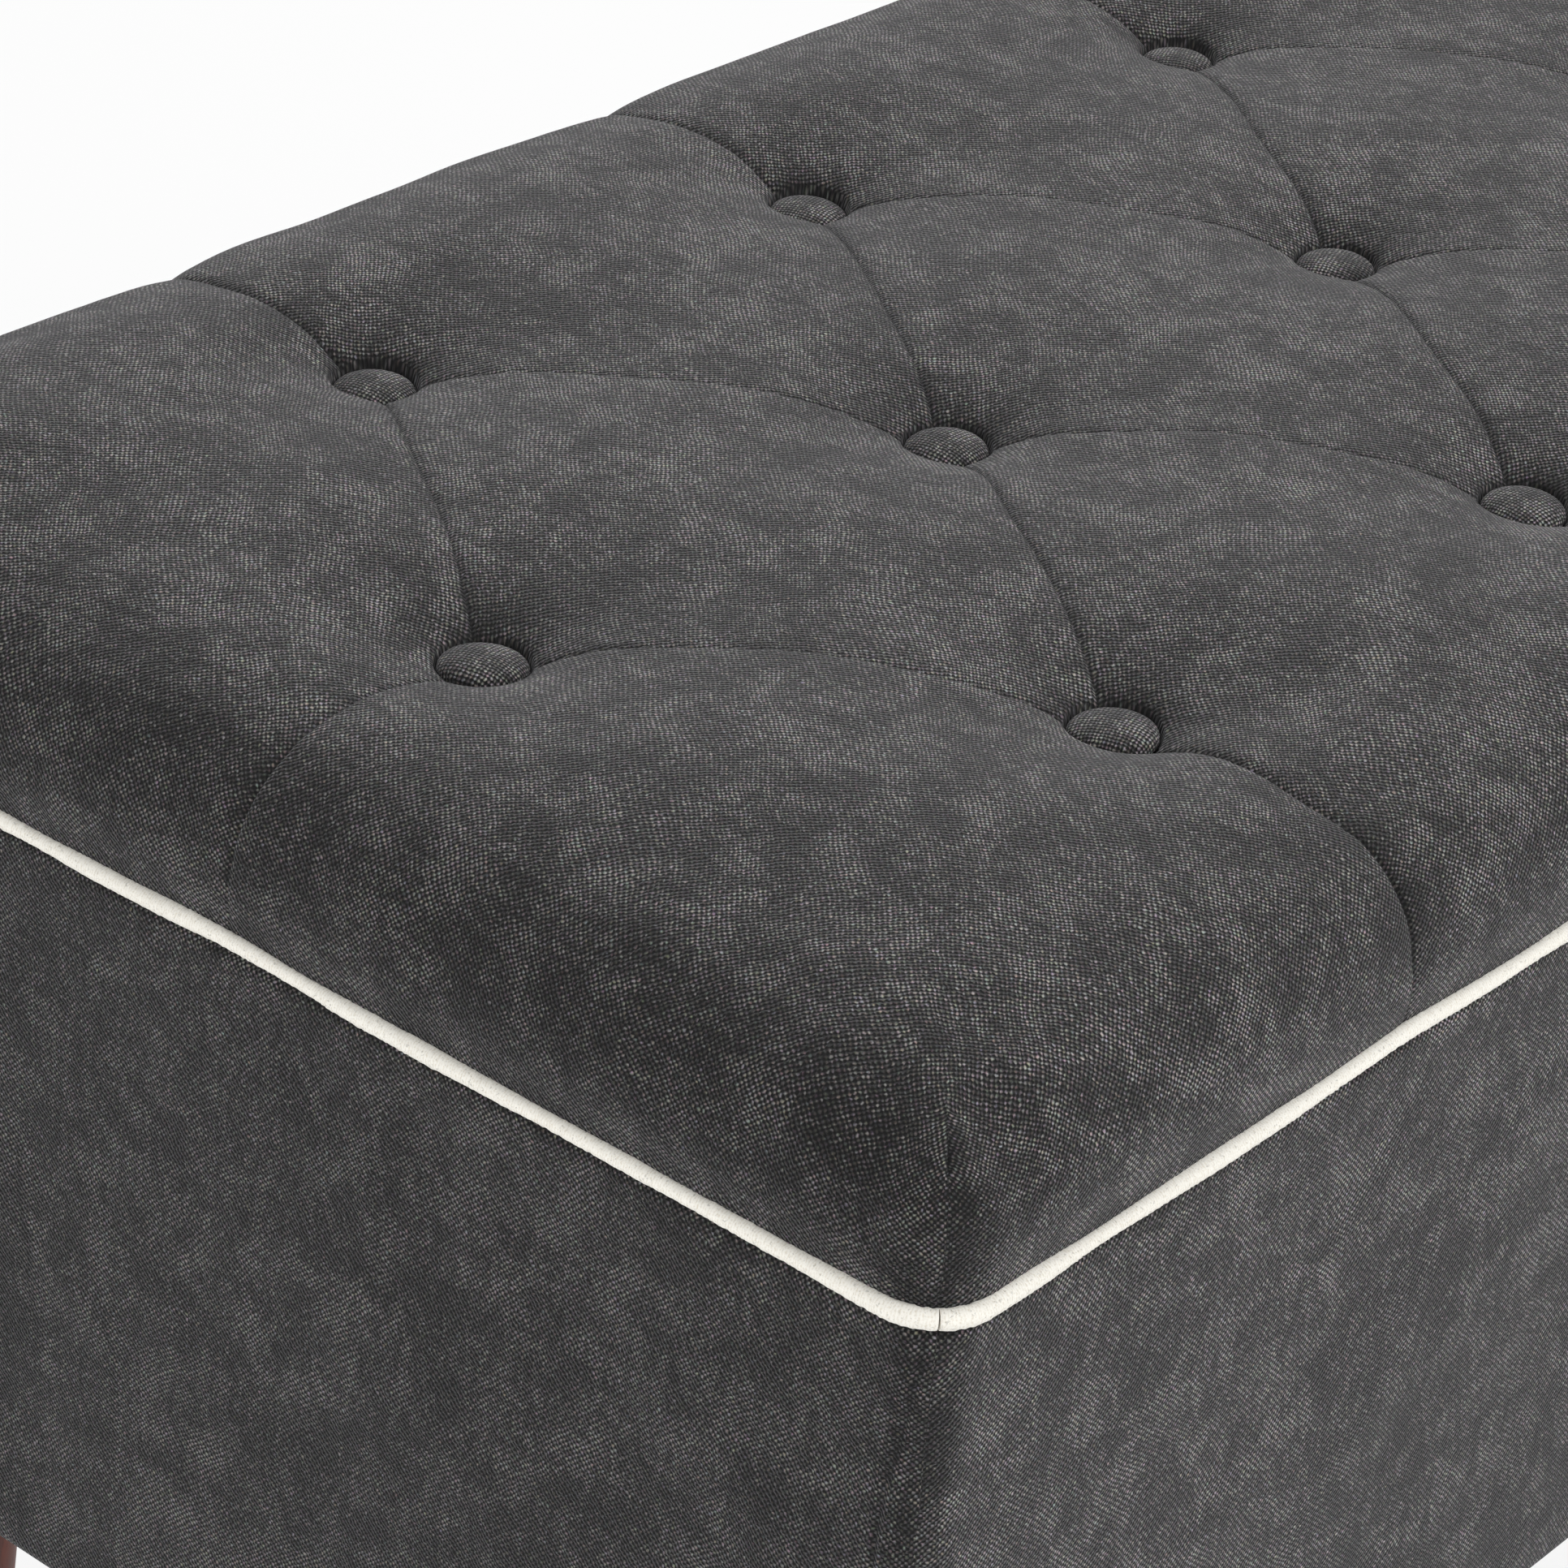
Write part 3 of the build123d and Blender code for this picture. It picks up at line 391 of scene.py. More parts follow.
class GeometryTree(Nodes):
    """A Geometry Nodes tree with named inputs, which turns one object into a plain mesh."""

    def __init__(self, name, **kinds):
        super().__init__(bpy.data.node_groups.new(name, "GeometryNodeTree"))
        face = self.tree.interface
        face.new_socket(name="Source", in_out="INPUT", socket_type="NodeSocketGeometry")
        self.keys = {
            label: face.new_socket(name=label, in_out="INPUT", socket_type="NodeSocket" + kind).identifier
            for label, kind in kinds.items()
        }
        face.new_socket(name="Result", in_out="OUTPUT", socket_type="NodeSocketGeometry")
        self.given = self.node("NodeGroupInput").outputs

    def close(self, geometry):
        """End the tree in real geometry with the material of its own input."""
        real = self.node("GeometryNodeRealizeInstances", {0: geometry})
        values = {"Geometry": real.outputs[0], "Material": self.given["Material"]}
        paint = self.node("GeometryNodeSetMaterial", values)
        self.node("NodeGroupOutput", {0: paint.outputs[0]})

    def result(self, data, **values):
        """The mesh that the tree makes of a curve or a mesh with these values."""
        holder = place_object(data.name, data)
        modifier = holder.modifiers.new(self.tree.name, "NODES")
        modifier.node_group = self.tree
        for label, value in values.items():
            modifier[self.keys[label]] = value
        bpy.context.view_layer.update()
        keep = holder.type == "CURVE"
        mesh = bpy.data.meshes.new_from_object(evaluated(holder), preserve_all_data_layers=keep)
        bpy.data.objects.remove(holder)
        if not mesh.vertices:
            raise RuntimeError(f"{self.tree.name} made nothing")
        return mesh


class Shader(Nodes):
    """A material under construction."""

    def __init__(self, name, roughness=0.6, metallic=0.0, sheen=0.0, sheen_roughness=0.5, specular=0.5):
        self.material = bpy.data.materials.new(name)
        self.material.use_nodes = True
        super().__init__(self.material.node_tree)
        self.surface = next(n for n in self.tree.nodes if n.type == "BSDF_PRINCIPLED")
        for key, value in (
            ("Roughness", roughness),
            ("Metallic", metallic),
            ("Sheen Weight", sheen),
            ("Sheen Roughness", sheen_roughness),
            ("Specular IOR Level", specular),
        ):
            self.surface.inputs[key].default_value = value

    def between(self, factor, first, second):
        return self.node("ShaderNodeMix", {0: factor, 2: first, 3: second}, data_type="FLOAT").outputs[0]

    def speckle(self, vector):
        made = self.node("ShaderNodeTexWhiteNoise", {"Vector": vector}, noise_dimensions="3D")
        return made.outputs["Value"]

    def cells(self, scale, randomness=1.0):
        """Distance to the middle of the nearest of many small cells."""
        values = {"Vector": self.place(), "Scale": scale, "Randomness": randomness}
        return self.node("ShaderNodeTexVoronoi", values, feature="F1").outputs["Distance"]

    def blend(self, factor, first, second, kind="MIX"):
        first, second = ((*v, 1.0) if isinstance(v, tuple) else v for v in (first, second))
        values, settings = {0: factor, 6: first, 7: second}, {"data_type": "RGBA", "clamp_factor": True}
        return self.node("ShaderNodeMix", values, blend_type=kind, **settings).outputs[2]

    def ramp(self, factor, stops):
        made = self.node("ShaderNodeValToRGB", {0: factor})
        while len(made.color_ramp.elements) < len(stops):
            made.color_ramp.elements.new(0.5)
        for element, (place, value) in zip(made.color_ramp.elements, stops):
            element.position = place
            element.color = (*value, 1.0) if isinstance(value, tuple) else (value, value, value, 1.0)
        return made.outputs[0]

    def shades(self, factor, base, stops):
        """A ramp through darker and lighter shades of one colour."""
        base = np.array(base)
        return self.ramp(factor, [(place, tuple(np.minimum(base * tone, 1.0))) for place, tone in stops])

    def bump(self, height, distance, strength=1.0, under=None):
        values = {"Distance": distance, "Strength": strength, "Height": height, "Normal": under}
        return self.node("ShaderNodeBump", values).outputs[0]

    def place(self):
        return self.node("ShaderNodeTexCoord").outputs["Object"]

    def attribute(self, name):
        return self.node("ShaderNodeAttribute", attribute_name=name).outputs["Fac"]

    def finish(self, colour, roughness=None, normal=None):
        for key, value in (("Base Color", colour), ("Roughness", roughness), ("Normal", normal)):
            self.feed(self.surface.inputs[key], value)
        return self.material


def charcoal_fabric(looks):
    """Plain woven chenille: rounded threads, rubbed patches, slubs, painted shade between the threads,
    painted glints, painted shade on the end facing -X and painted shadow in the folds.
    """
    s = Shader("Charcoal woven fabric", roughness=0.86, sheen=0.25, sheen_roughness=0.4, specular=0.25)
    s.surface.inputs["Sheen Tint"].default_value = (0.75, 0.75, 0.78, 1.0)
    flat = s.node("ShaderNodeUVMap", uv_map="Cloth").outputs[0]
    drift = s.vector("SUBTRACT", s.noise(flat, 22.0, 2.0, colour=True), (0.5, 0.5, 0.5))
    jitter = s.vector("SUBTRACT", s.noise(flat, 560.0, 2.0, colour=True), (0.5, 0.5, 0.5))
    moved = s.vector("ADD", flat, s.vector("SCALE", drift, 0.007))
    moved = s.vector("ADD", moved, s.vector("SCALE", jitter, 0.0012))
    threads = s.vector("SCALE", moved, 1.0 / looks.thread_pitch)
    u, v, _ = s.node("ShaderNodeSeparateXYZ", {0: threads}).outputs
    column, row = s.math("FLOOR", u), s.math("FLOOR", v)
    over = s.math("FLOORED_MODULO", s.math("ADD", column, row), 2.0)
    across_u = s.math("ABSOLUTE", s.math("SINE", s.math("MULTIPLY", u, math.pi)))
    across_v = s.math("ABSOLUTE", s.math("SINE", s.math("MULTIPLY", v, math.pi)))
    middle = s.math("MULTIPLY", across_u, across_v)
    hole = s.math("MULTIPLY_ADD", s.speckle(s.join(column, row, 9.0)), -0.55, -0.30)
    sunk = s.math("MULTIPLY_ADD", s.math("POWER", middle, 0.7), hole, 0.60)
    raised = s.math("MULTIPLY_ADD", middle, 0.40, 0.60)
    weave = s.between(over, sunk, raised)
    warp_tone = s.noise(s.join(s.math("MULTIPLY", column, 0.83), s.math("MULTIPLY", v, 0.06)), 1.0, 2.0)
    weft_tone = s.noise(s.join(s.math("MULTIPLY", u, 0.06), s.math("MULTIPLY", row, 0.83), 7.0), 1.0, 2.0)
    tone = s.between(over, warp_tone, weft_tone)
    patches = s.noise(flat, 60.0, 6.0, 0.66, 0.3)
    clouds = s.noise(flat, 13.0, 3.0, 0.55)
    streaks = s.noise(s.vector("MULTIPLY", flat, (1.0, 0.3, 1.0)), 300.0, 3.0, 0.6)
    fibres = s.noise(flat, 2300.0, 3.0, 0.7)
    fleck = s.speckle(s.join(column, row, 3.0))
    value = -2.57
    parts = ((tone, 0.60), (patches, 1.85), (streaks, 1.15), (clouds, 0.70), (fibres, 1.25), (fleck, 0.50))
    for part, weight in parts:
        value = s.math("MULTIPLY_ADD", part, weight, value)
    dark, base, light = (tuple(c) for c in (looks.fabric_dark, looks.fabric_base, looks.fabric_light))
    shade = s.ramp(value, [(0.20, dark), (0.52, base), (0.86, light)])
    # Painted shade in the gaps between the threads and painted highlight on their crowns, from the weave's
    # depth.
    depth = s.ramp(weave, [(0.0, 0.0), (0.40, 0.04), (0.64, 0.50), (1.0, 3.05)])
    shade = s.blend(1.0, shade, depth, "MULTIPLY")
    tint = s.vector("SUBTRACT", s.noise(flat, 760.0, 2.0, colour=True), (0.5, 0.5, 0.5))
    tint = s.vector("ADD", s.vector("SCALE", tint, 0.9), (1.0, 1.0, 1.0))
    shade = s.blend(1.0, shade, tint, "MULTIPLY")
    # Painted glints: bright dashes on scattered threads, more of them in the band over the end shoulders.
    pulled = s.attribute("pulled")
    rare = s.math("MULTIPLY_ADD", pulled, -0.4, 0.80)
    shiny = s.math("GREATER_THAN", s.speckle(s.join(column, 0.0, 5.0)), rare)
    lengths = s.noise(s.join(column, s.math("MULTIPLY", v, 0.55), 2.0), 1.0, 1.0)
    dash = s.ramp(lengths, [(0.52, 0.0), (0.66, 1.0)])
    glint = s.math("MULTIPLY", s.math("MULTIPLY", shiny, dash), s.math("MULTIPLY", over, middle))
    glint = s.math("MULTIPLY", glint, s.math("MULTIPLY_ADD", pulled, 0.45, 0.45))
    shade = s.blend(glint, shade, (0.42, 0.41, 0.40))
    # Painted shade on faces turned towards -X and along the folds.
    shade = s.blend(s.math("MULTIPLY", s.attribute("nap"), looks.painted_end_shade_strength), shade, (0.0, 0.0, 0.0))
    # Painted shadow along the pleat creases, round the button rims and in the seams' grooves.
    fold = s.attribute("fold")
    shade = s.blend(s.math("MULTIPLY", fold, 0.85), shade, (0.004, 0.004, 0.0045))
    wrinkles = s.bump(patches, 0.0006, 0.4)
    normal = s.bump(weave, 0.0004, 0.9, wrinkles)
    return s.finish(shade, None, normal)


def ivory_cord(looks):
    """Fine ribbed ivory tape over a cord."""
    s = Shader("Ivory piping", roughness=0.8, sheen=0.15, specular=0.3)
    along = s.attribute("along")
    place = s.place()
    wobble = s.math("MULTIPLY", s.noise(place, 700.0, 2.0), 0.0011)
    ribs = s.math("SINE", s.math("MULTIPLY", s.math("ADD", along, wobble), 2 * math.pi / 0.00078))
    ribs = s.math("MULTIPLY_ADD", ribs, 0.5, 0.5)
    fibre = s.noise(place, 1700.0, 3.0, 0.65)
    specks = s.ramp(s.noise(place, 1150.0, 2.0, 0.5), [(0.30, 0.70), (0.38, 1.0)])
    value = s.math("MULTIPLY_ADD", ribs, 0.16, s.math("MULTIPLY", fibre, 0.86))
    shade = s.shades(value, looks.piping_colour, [(0.30, (0.80, 0.76, 0.70)), (0.52, 1.0), (0.9, 1.06)])
    soil = s.noise(place, 30.0, 3.0)
    shade = s.blend(s.math("MULTIPLY", soil, 0.16), shade, (0.72, 0.66, 0.55))
    shade = s.blend(1.0, shade, specks, "MULTIPLY")
    return s.finish(shade, None, s.bump(value, 0.0002, 0.5))


def lining_cloth(looks, name="Black lining", glue=0.0):
    """Thin bonded cloth: a faint web of fibres and small embossed dots."""
    s = Shader(name, roughness=0.7, sheen=0.2, specular=0.35)
    place = s.place()
    fibres = s.noise(place, 420.0, 6.0, 0.75, 1.2)
    pits = s.ramp(s.cells(620.0, 0.35), [(0.0, 0.0), (0.35, 1.0)])
    base = np.array(looks.lining_colour)
    shade = s.ramp(fibres, [(0.3, tuple(base * 0.6)), (0.55, tuple(base)), (0.8, tuple(base * 2.6 + glue))])
    shade = s.blend(0.5, shade, pits, "MULTIPLY")
    ripple = s.bump(s.noise(place, 9.0, 3.0), 0.004, 0.25)
    return s.finish(shade, None, s.bump(s.math("MULTIPLY_ADD", pits, 0.5, fibres), 0.0002, 0.6, ripple))


def stained_wood(looks):
    """Reddish stain over straight grain."""
    s = Shader("Stained wood", roughness=0.48, specular=0.22)
    place = s.place()
    stretched = s.vector("MULTIPLY", place, (1.0, 1.0, 0.07))
    grain = s.noise(stretched, 330.0, 6.0, 0.62, 0.8)
    bands = s.noise(stretched, 70.0, 3.0, 0.5, 1.5)
    value = s.math("MULTIPLY_ADD", bands, 0.55, s.math("MULTIPLY", grain, 0.5))
    shade = s.shades(value, looks.wood_colour, [(0.32, 0.38), (0.52, 1.0), (0.74, 1.75)])
    pores = s.ramp(s.noise(stretched, 1500.0, 2.0), [(0.30, 0.45), (0.42, 1.0)])
    shade = s.blend(0.7, shade, pores, "MULTIPLY")
    rough = s.ramp(grain, [(0.3, 0.42), (0.7, 0.56)])
    return s.finish(shade, rough, s.bump(value, 0.0002, 0.35))


def bare_wood(looks, name, stretch, scale=1.0):
    """Unfinished softwood or plywood with its grain along one direction."""
    s = Shader(name, roughness=0.72, specular=0.3)
    stretched = s.vector("MULTIPLY", s.place(), stretch)
    grain = s.noise(stretched, 260.0 * scale, 5.0, 0.6, 0.6)
    rings = s.noise(stretched, 38.0 * scale, 2.0, 0.5, 2.2)
    value = s.math("MULTIPLY_ADD", rings, 0.6, s.math("MULTIPLY", grain, 0.4))
    shade = s.shades(value, looks.frame_wood_colour, [(0.35, 0.68), (0.52, 1.0), (0.7, 1.2)])
    return s.finish(shade, s.ramp(grain, [(0.3, 0.62), (0.7, 0.8)]), s.bump(value, 0.0003, 0.4))


def plated_steel(looks, name="Zinc plated steel", rough=0.34):
    """Dull zinc plating with fine drawing lines and clouded spots."""
    s = Shader(name, roughness=rough, metallic=1.0)
    place = s.place()
    lines = s.noise(s.vector("MULTIPLY", place, (0.06, 1.0, 1.0)), 1900.0, 3.0, 0.6)
    clouds = s.noise(place, 130.0, 4.0, 0.6, 0.5)
    shade = s.shades(clouds, looks.steel_colour, [(0.3, 0.72), (0.6, 1.0), (0.8, 1.15)])
    value = s.math("MULTIPLY_ADD", lines, 0.6, s.math("MULTIPLY", clouds, 0.4))
    worn = s.ramp(value, [(0.3, rough - 0.1), (0.7, rough + 0.16)])
    return s.finish(shade, worn, s.bump(lines, 0.00004, 0.5))


def moulded(name, base, rough, grain=900.0):
    """Moulded plastic or rubber with a fine satin grain."""
    s = Shader(name, roughness=rough, specular=0.45)
    place = s.place()
    fine = s.noise(place, grain, 3.0, 0.6)
    wide = s.noise(place, 60.0, 3.0)
    shade = s.shades(wide, base, [(0.3, 0.75), (0.7, 1.25)])
    worn = s.ramp(fine, [(0.3, rough - 0.07), (0.7, rough + 0.1)])
    return s.finish(shade, worn, s.bump(fine, 0.00008, 0.5))


def open_foam():
    """Cut foam with open cells."""
    s = Shader("Cut foam", roughness=0.95, specular=0.1)
    walls = s.ramp(s.cells(900.0), [(0.1, 0.55), (0.6, 1.0)])
    clouds = s.ramp(s.noise(s.place(), 40.0), [(0.3, (0.78, 0.70, 0.50)), (0.7, (0.86, 0.80, 0.62))])
    return s.finish(s.blend(1.0, clouds, walls, "MULTIPLY"), None, s.bump(walls, 0.0004, 0.6))


FINISHES = {}


def finish(name):
    """One of the bench's finishes, made the first time it is asked for."""
    if not FINISHES:
        looks = bpy.context.scene.bench_finishes
        FINISHES.update(
            fabric=charcoal_fabric(looks),
            piping=ivory_cord(looks),
            lining=lining_cloth(looks),
            dust_cloth=lining_cloth(looks, "Black dust cover cloth", 0.006),
            legs=stained_wood(looks),
            length_wood=bare_wood(looks, "Bare wood along the bench", (0.06, 1.0, 1.0)),
            width_wood=bare_wood(looks, "Bare wood across the bench", (1.0, 0.06, 1.0)),
            plywood=bare_wood(looks, "Plywood", (0.08, 1.0, 6.0), 0.6),
            steel=plated_steel(looks),
            dark_steel=plated_steel(looks, "Dark plated screw steel", 0.42),
            glide=moulded("Glide plastic", (0.02, 0.02, 0.02), 0.5),
            rubber=moulded("Bumper rubber", (0.28, 0.28, 0.29), 0.6, 1400.0),
            foam=open_foam(),
            twine=moulded("Waxed twine", (0.45, 0.38, 0.27), 0.8, 2600.0),
        )
    return FINISHES[name]


def in_mm(*values):
    """Sizes of the sidebar in millimetres."""
    return [value / MM for value in values]


def button_places():
    """Plan places of the buttons: the middle row, then the front and back rows."""
    sizes = bpy.context.scene.bench_sizes
    pitch, rows = in_mm(sizes.button_pitch, sizes.row_spacing)

    def row(count, y):
        return [((i - (count - 1) / 2) * pitch, y) for i in range(count)]

    return np.array(row(BUTTONS_IN_MIDDLE, 0.0) + row(BUTTONS_IN_OUTER, -rows) + row(BUTTONS_IN_OUTER, rows))


class Tufting:
    """How far the fabric lies below the plain crown."""

    # How far a button's pull reaches along a pleat, and the pleat's flanks beside and away from it
    PULL_REACH, FLANK, FLANK_GROWTH, GROWTH_REACH, FOLD_REACH = 24.0, 5.0, 11.0, 40.0, 2.4
    # Width and least strength of a crease; pleats that follow the pile's lay are deeper
    CREASE, DEEP_CREASE, DEEPER = (0.42, 0.32), (0.62, 0.56), 1.6
    CREASE_REACH = 38.0

    def __init__(self):
        sizes = bpy.context.scene.bench_sizes
        self.seat, self.rim, self.flare, self.radius = in_mm(
            sizes.seat_drop, sizes.rim_drop, sizes.dimple_flare, sizes.button_radius
        )
        self.mid, self.ends, self.edge = in_mm(sizes.pleat_drop, sizes.pleat_end_drop, sizes.edge_pleat_drop)
        self.slack = sizes.pleat_slack
        self.buttons = button_places()
        outer, middle = self.buttons[BUTTONS_IN_MIDDLE:], self.buttons[:BUTTONS_IN_MIDDLE]
        beside = sizes.button_pitch / MM / 2
        self.diagonals = [(m, o) for m in middle for o in outer if abs(abs(m[0] - o[0]) - beside) < 1]
        past = (LID_HIGH[:2] - LID_LOW[:2]) / 2 + 60
        self.edges = [(b, np.array([b[0], math.copysign(past[1], b[1])])) for b in outer]
        self.edges += [(b, np.array([math.copysign(past[0], b[0]), 0.0])) for b in (middle[0], middle[-1])]

    def nearest(self, places):
        """Distance in plan of every place to the button nearest to it."""
        return np.min([np.hypot(places[:, 0] - x, places[:, 1] - y) for x, y in self.buttons], axis=0)

    def __call__(self, x, y):
        """Depth and painted fold shadow at each plan point."""
        nearest = self.nearest(np.column_stack([x, y]))
        beyond = np.maximum(nearest - self.radius - 0.3, 0)
        groove, line = np.zeros_like(x), np.zeros_like(x)
        for number, (a, b) in enumerate(self.diagonals + self.edges):
            valley, crease = self.pleat(x, y, a, b, number >= len(self.diagonals))
            groove, line = np.maximum(groove, valley), np.maximum(line, crease)
        near = bell(beyond, 0, 30.0)
        depth = self.rim * np.exp(-beyond / self.flare) + groove * (1 - 0.25 * near)
        under = smooth_step(self.radius + 0.9 - nearest, 0, 1.2)
        depth = depth * (1 - under) + self.seat * under
        # Painted shadow round each button's rim; the crease lines are also pressed into the depth.
        rim = bell(nearest - self.radius, 0.4, 0.9)
        line = np.maximum(line * (nearest > self.radius), rim * 0.8)
        return depth + 0.7 * line * (1 - under), line

    def pleat(self, x, y, a, b, to_edge):
        """Depth and crease of one pleat from button a to b, which is a button or lies past the edge."""
        span = np.linalg.norm(b - a)
        direction = (b - a) / span
        dx, dy = x - a[0], y - a[1]
        along, aside = dx * direction[0] + dy * direction[1], np.abs(dx * -direction[1] + dy * direction[0])
        lengthwise = abs(a[1] - b[1]) < 1
        slack, (width, least) = 1.0, self.CREASE
        if to_edge:
            gone, mid = along, self.edge * (0.55 if lengthwise else 1.0)
        else:
            gone, mid = np.minimum(along, span - along), self.mid
            if (b[0] - a[0]) * (b[1] - a[1]) < 0:
                slack = self.slack
            else:
                mid, (width, least) = self.DEEPER * mid, self.DEEP_CREASE
        gone = np.maximum(gone, 0)
        inside = smooth_step(along, -10, 6) * (1 - smooth_step(along, span - 6, span + 10))
        ends = self.ends * (0.35 if lengthwise else 1.0)
        drop = mid * slack + ends * np.exp(-gone / self.PULL_REACH)
        flank = self.FLANK + self.FLANK_GROWTH * (1 - np.exp(-gone / self.GROWTH_REACH))
        valley = drop * (0.62 * np.exp(-aside / flank) + 0.38 * np.exp(-aside / self.FOLD_REACH))
        if lengthwise:
            valley *= 0.55 + 0.45 * smooth_step(gone, 30, 75)
        crease = bell(aside, 0, width) * inside
        strength = least * slack + (1 - least) * np.exp(-gone / (self.CREASE_REACH * slack))
        return valley * inside, crease * strength


def graded(start, end, step, marks, offsets):
    """Stations from start to end about a step apart, with finer ones beside each mark."""
    plain = np.linspace(start, end, max(2, int(round((end - start) / step)) + 1))
    fine = [m + side * o for m in marks for o in offsets for side in (-1, 1)] + list(marks)
    fine = np.unique(np.round([f for f in fine if start < f < end], 4))
    clear = max(offsets) + step * 0.4
    keep = [p for p in plain if p in (start, end) or all(abs(p - m) > clear for m in marks)]
    return np.array(sorted(set(np.round(keep, 4)) | set(fine)))


def corner_turns(count, close):
    """Angles round a corner, evenly spaced, with finer ones beside the middle."""
    quarter = math.pi / 2
    even = [quarter * k / count for k in range(1, count)]
    fine = [quarter / 2 + side * c for c in close for side in (-1, 1)]
    return sorted({round(a, 9) for a in even + fine} | {round(quarter / 2, 9)})


class Rings:
    """Closed rings of points, joined by quads into one cloth."""

    def __init__(self, outline):
        self.outline = outline
        self.verts, self.folds, self.faces, self.uv = [], [], [], []
        self.count = 0

    def add(self, points, z, fold=None):
        """Point numbers of a new ring from its plan places and heights."""
        size = len(points)
        self.verts.append(np.column_stack([points, np.broadcast_to(z, size)]))
        self.folds.append(np.zeros(size) if fold is None else fold)
        self.count += size
        return np.arange(self.count - size, self.count)

    def join(self, lower, upper, offsets, place):
        """Quads between two rings, with the cloth's offsets there and a rule for its places."""
        self.faces += ring_faces(lower, upper)
        self.uv += self.outline.quad_places(offsets, place)

    def mesh(self, name):
        made = make_mesh(name, np.vstack(self.verts), self.faces, self.uv)
        # The fold value carries painted shade along the creases and seams.
        store(made, "fold", np.concatenate(self.folds))
        return made


class BENCH_OT_lid_cover(bpy.types.Operator):
    """Make the lid's tufted cover over its foam"""

    bl_idname = "bench.lid_cover"
    bl_label = "Lid Cover"

    PLEAT_OFFSETS = (0.35, 0.8, 1.6, 3.0, 5.0, 8.0)
    PLEAT_SPACINGS = (2.4, 2.4, 2.6, 3.2, 4.0, 5.0)
    BUTTON_RINGS = (  # radius, points
        (0.0, 1),
        (6.0, 12),
        (10.5, 36),
        *((r, 44) for r in (11.6, 12.5, 13.6, 15.2)),
        *((r, 40) for r in (17.4, 20.2, 23.6, 27.6, 32.2)),
    )
    SHOULDER_RINGS, SIDE_RINGS, CORNER_STEPS = 12, 7, 14
    HEM, HEM_RISE = 32.0, 1.3
    # Where the side's pull, its corner seam, its seam's pinch, the corner's pressing in and the band of
    # painted glints are strongest, and how far they reach
    PULL, SEAM, PINCH, SOFT, RUB = (18, 14), (15, 4.0), (15, 5.5), (16, 16), (7, 11)
    SEAM_WIDTH, CORNER_REACH = 0.7, 17.0
    # Loose cloth between the pleats: height, size and seed of its waves
    LOOSE = ((0.55, 95.0, 11), (0.18, 31.0, 12))
    PLEAT_HOLD = 0.45
    CLOTH_FRAMES = 20
    CLOTH = {
        "quality": 4,
        "mass": 0.3,
        "tension_stiffness": 12.0,
        "compression_stiffness": 12.0,
        "shear_stiffness": 5.0,
        "bending_stiffness": 0.5,
        "use_pressure": True,
        "uniform_pressure_force": 4.0,
        "vertex_group_mass": "Held",
    }

    def execute(self, context):
        sizes = context.scene.bench_sizes
        shoulder, crown, rise, tuck, corner, step, rear, softness = in_mm(
            sizes.shoulder_radius,
            sizes.crown_radius,
            sizes.side_rise,
            sizes.side_tuck,
            sizes.lid_corner_radius,
            sizes.panel_spacing,
            sizes.rear_fullness,
            sizes.corner_softness,
        )
        slope = sizes.crown_angle
        half = (LID_HIGH[:2] - LID_LOW[:2]) / 2
        low_z = LID_LOW[2]
        crown_z = low_z + rise + shoulder * math.cos(slope) + crown * (1 - math.cos(slope))
        edge_half = half - shoulder * (1 - math.sin(slope))
        corner_base = corner - shoulder * (1 - math.sin(slope))
        centre = half - corner
        flat_end = half - shoulder + (shoulder - crown) * math.sin(slope)
        tufting = Tufting()
        across = [b[0] for b in tufting.buttons[BUTTONS_IN_MIDDLE : BUTTONS_IN_MIDDLE + BUTTONS_IN_OUTER]]
        outline = Outline(
            edge_half,
            centre,
            corner_base,
            graded(-centre[0], centre[0], step, across, self.PLEAT_OFFSETS),
            graded(-centre[1], centre[1], step, [0.0], self.PLEAT_OFFSETS),
            corner_turns(self.CORNER_STEPS, (0.018, 0.045, 0.09)),
        )

        def at_corner(x, y):
            """How far the top's corners are pressed in at each place."""
            gap = np.hypot(edge_half[0] - np.abs(x), edge_half[1] - np.abs(y))
            return softness * bell(gap, 0, self.CORNER_REACH)

        def level(x, y):
            """Height of the crown's top with its pleats, the fold's shadow and the depth below the crown."""
            over = np.maximum(np.abs(np.stack([x, y])) - flat_end[:, None], 0)
            drops = crown - np.sqrt(crown**2 - over**2)
            drop = (drops[0] ** 4 + drops[1] ** 4) ** 0.25
            depth, line = tufting(x, y)
            loose = sum(height * waves(x, y, size, seed) for height, size, seed in self.LOOSE)
            full = rear * smooth_step(y, flat_end[1] - 18, half[1] - 30)
            return crown_z - drop - depth + full - at_corner(x, y) + loose * np.exp(-depth / 6.0), line, depth

        points, kept = self.scatter(outline, tufting, edge_half, step)
        border = [(i, (i + 1) % outline.count) for i in range(outline.count)]
        places = [Vector(p) for p in points]
        made, _, faces, origins, _, _ = delaunay_2d_cdt(places, border + kept, [], 0, 1e-5)
        plan = np.array([tuple(p) for p in made])
        previous = np.full(outline.count, -1)
        for number, sources in enumerate(origins):
            for source in sources:
                if source < outline.count:
                    previous[source] = number
        if (previous < 0).any():
            raise RuntimeError("the lid's outline was lost in the mesh")
        heights, fold, _ = level(plan[:, 0], plan[:, 1])
        rings = Rings(outline)
        rings.add(self.stray(plan, edge_half, tufting), heights, fold)
        rings.faces = [list(f) for f in faces]
        rings.uv = [plan[i] for f in faces for i in f]
        glint_bands = [np.zeros(len(plan))]

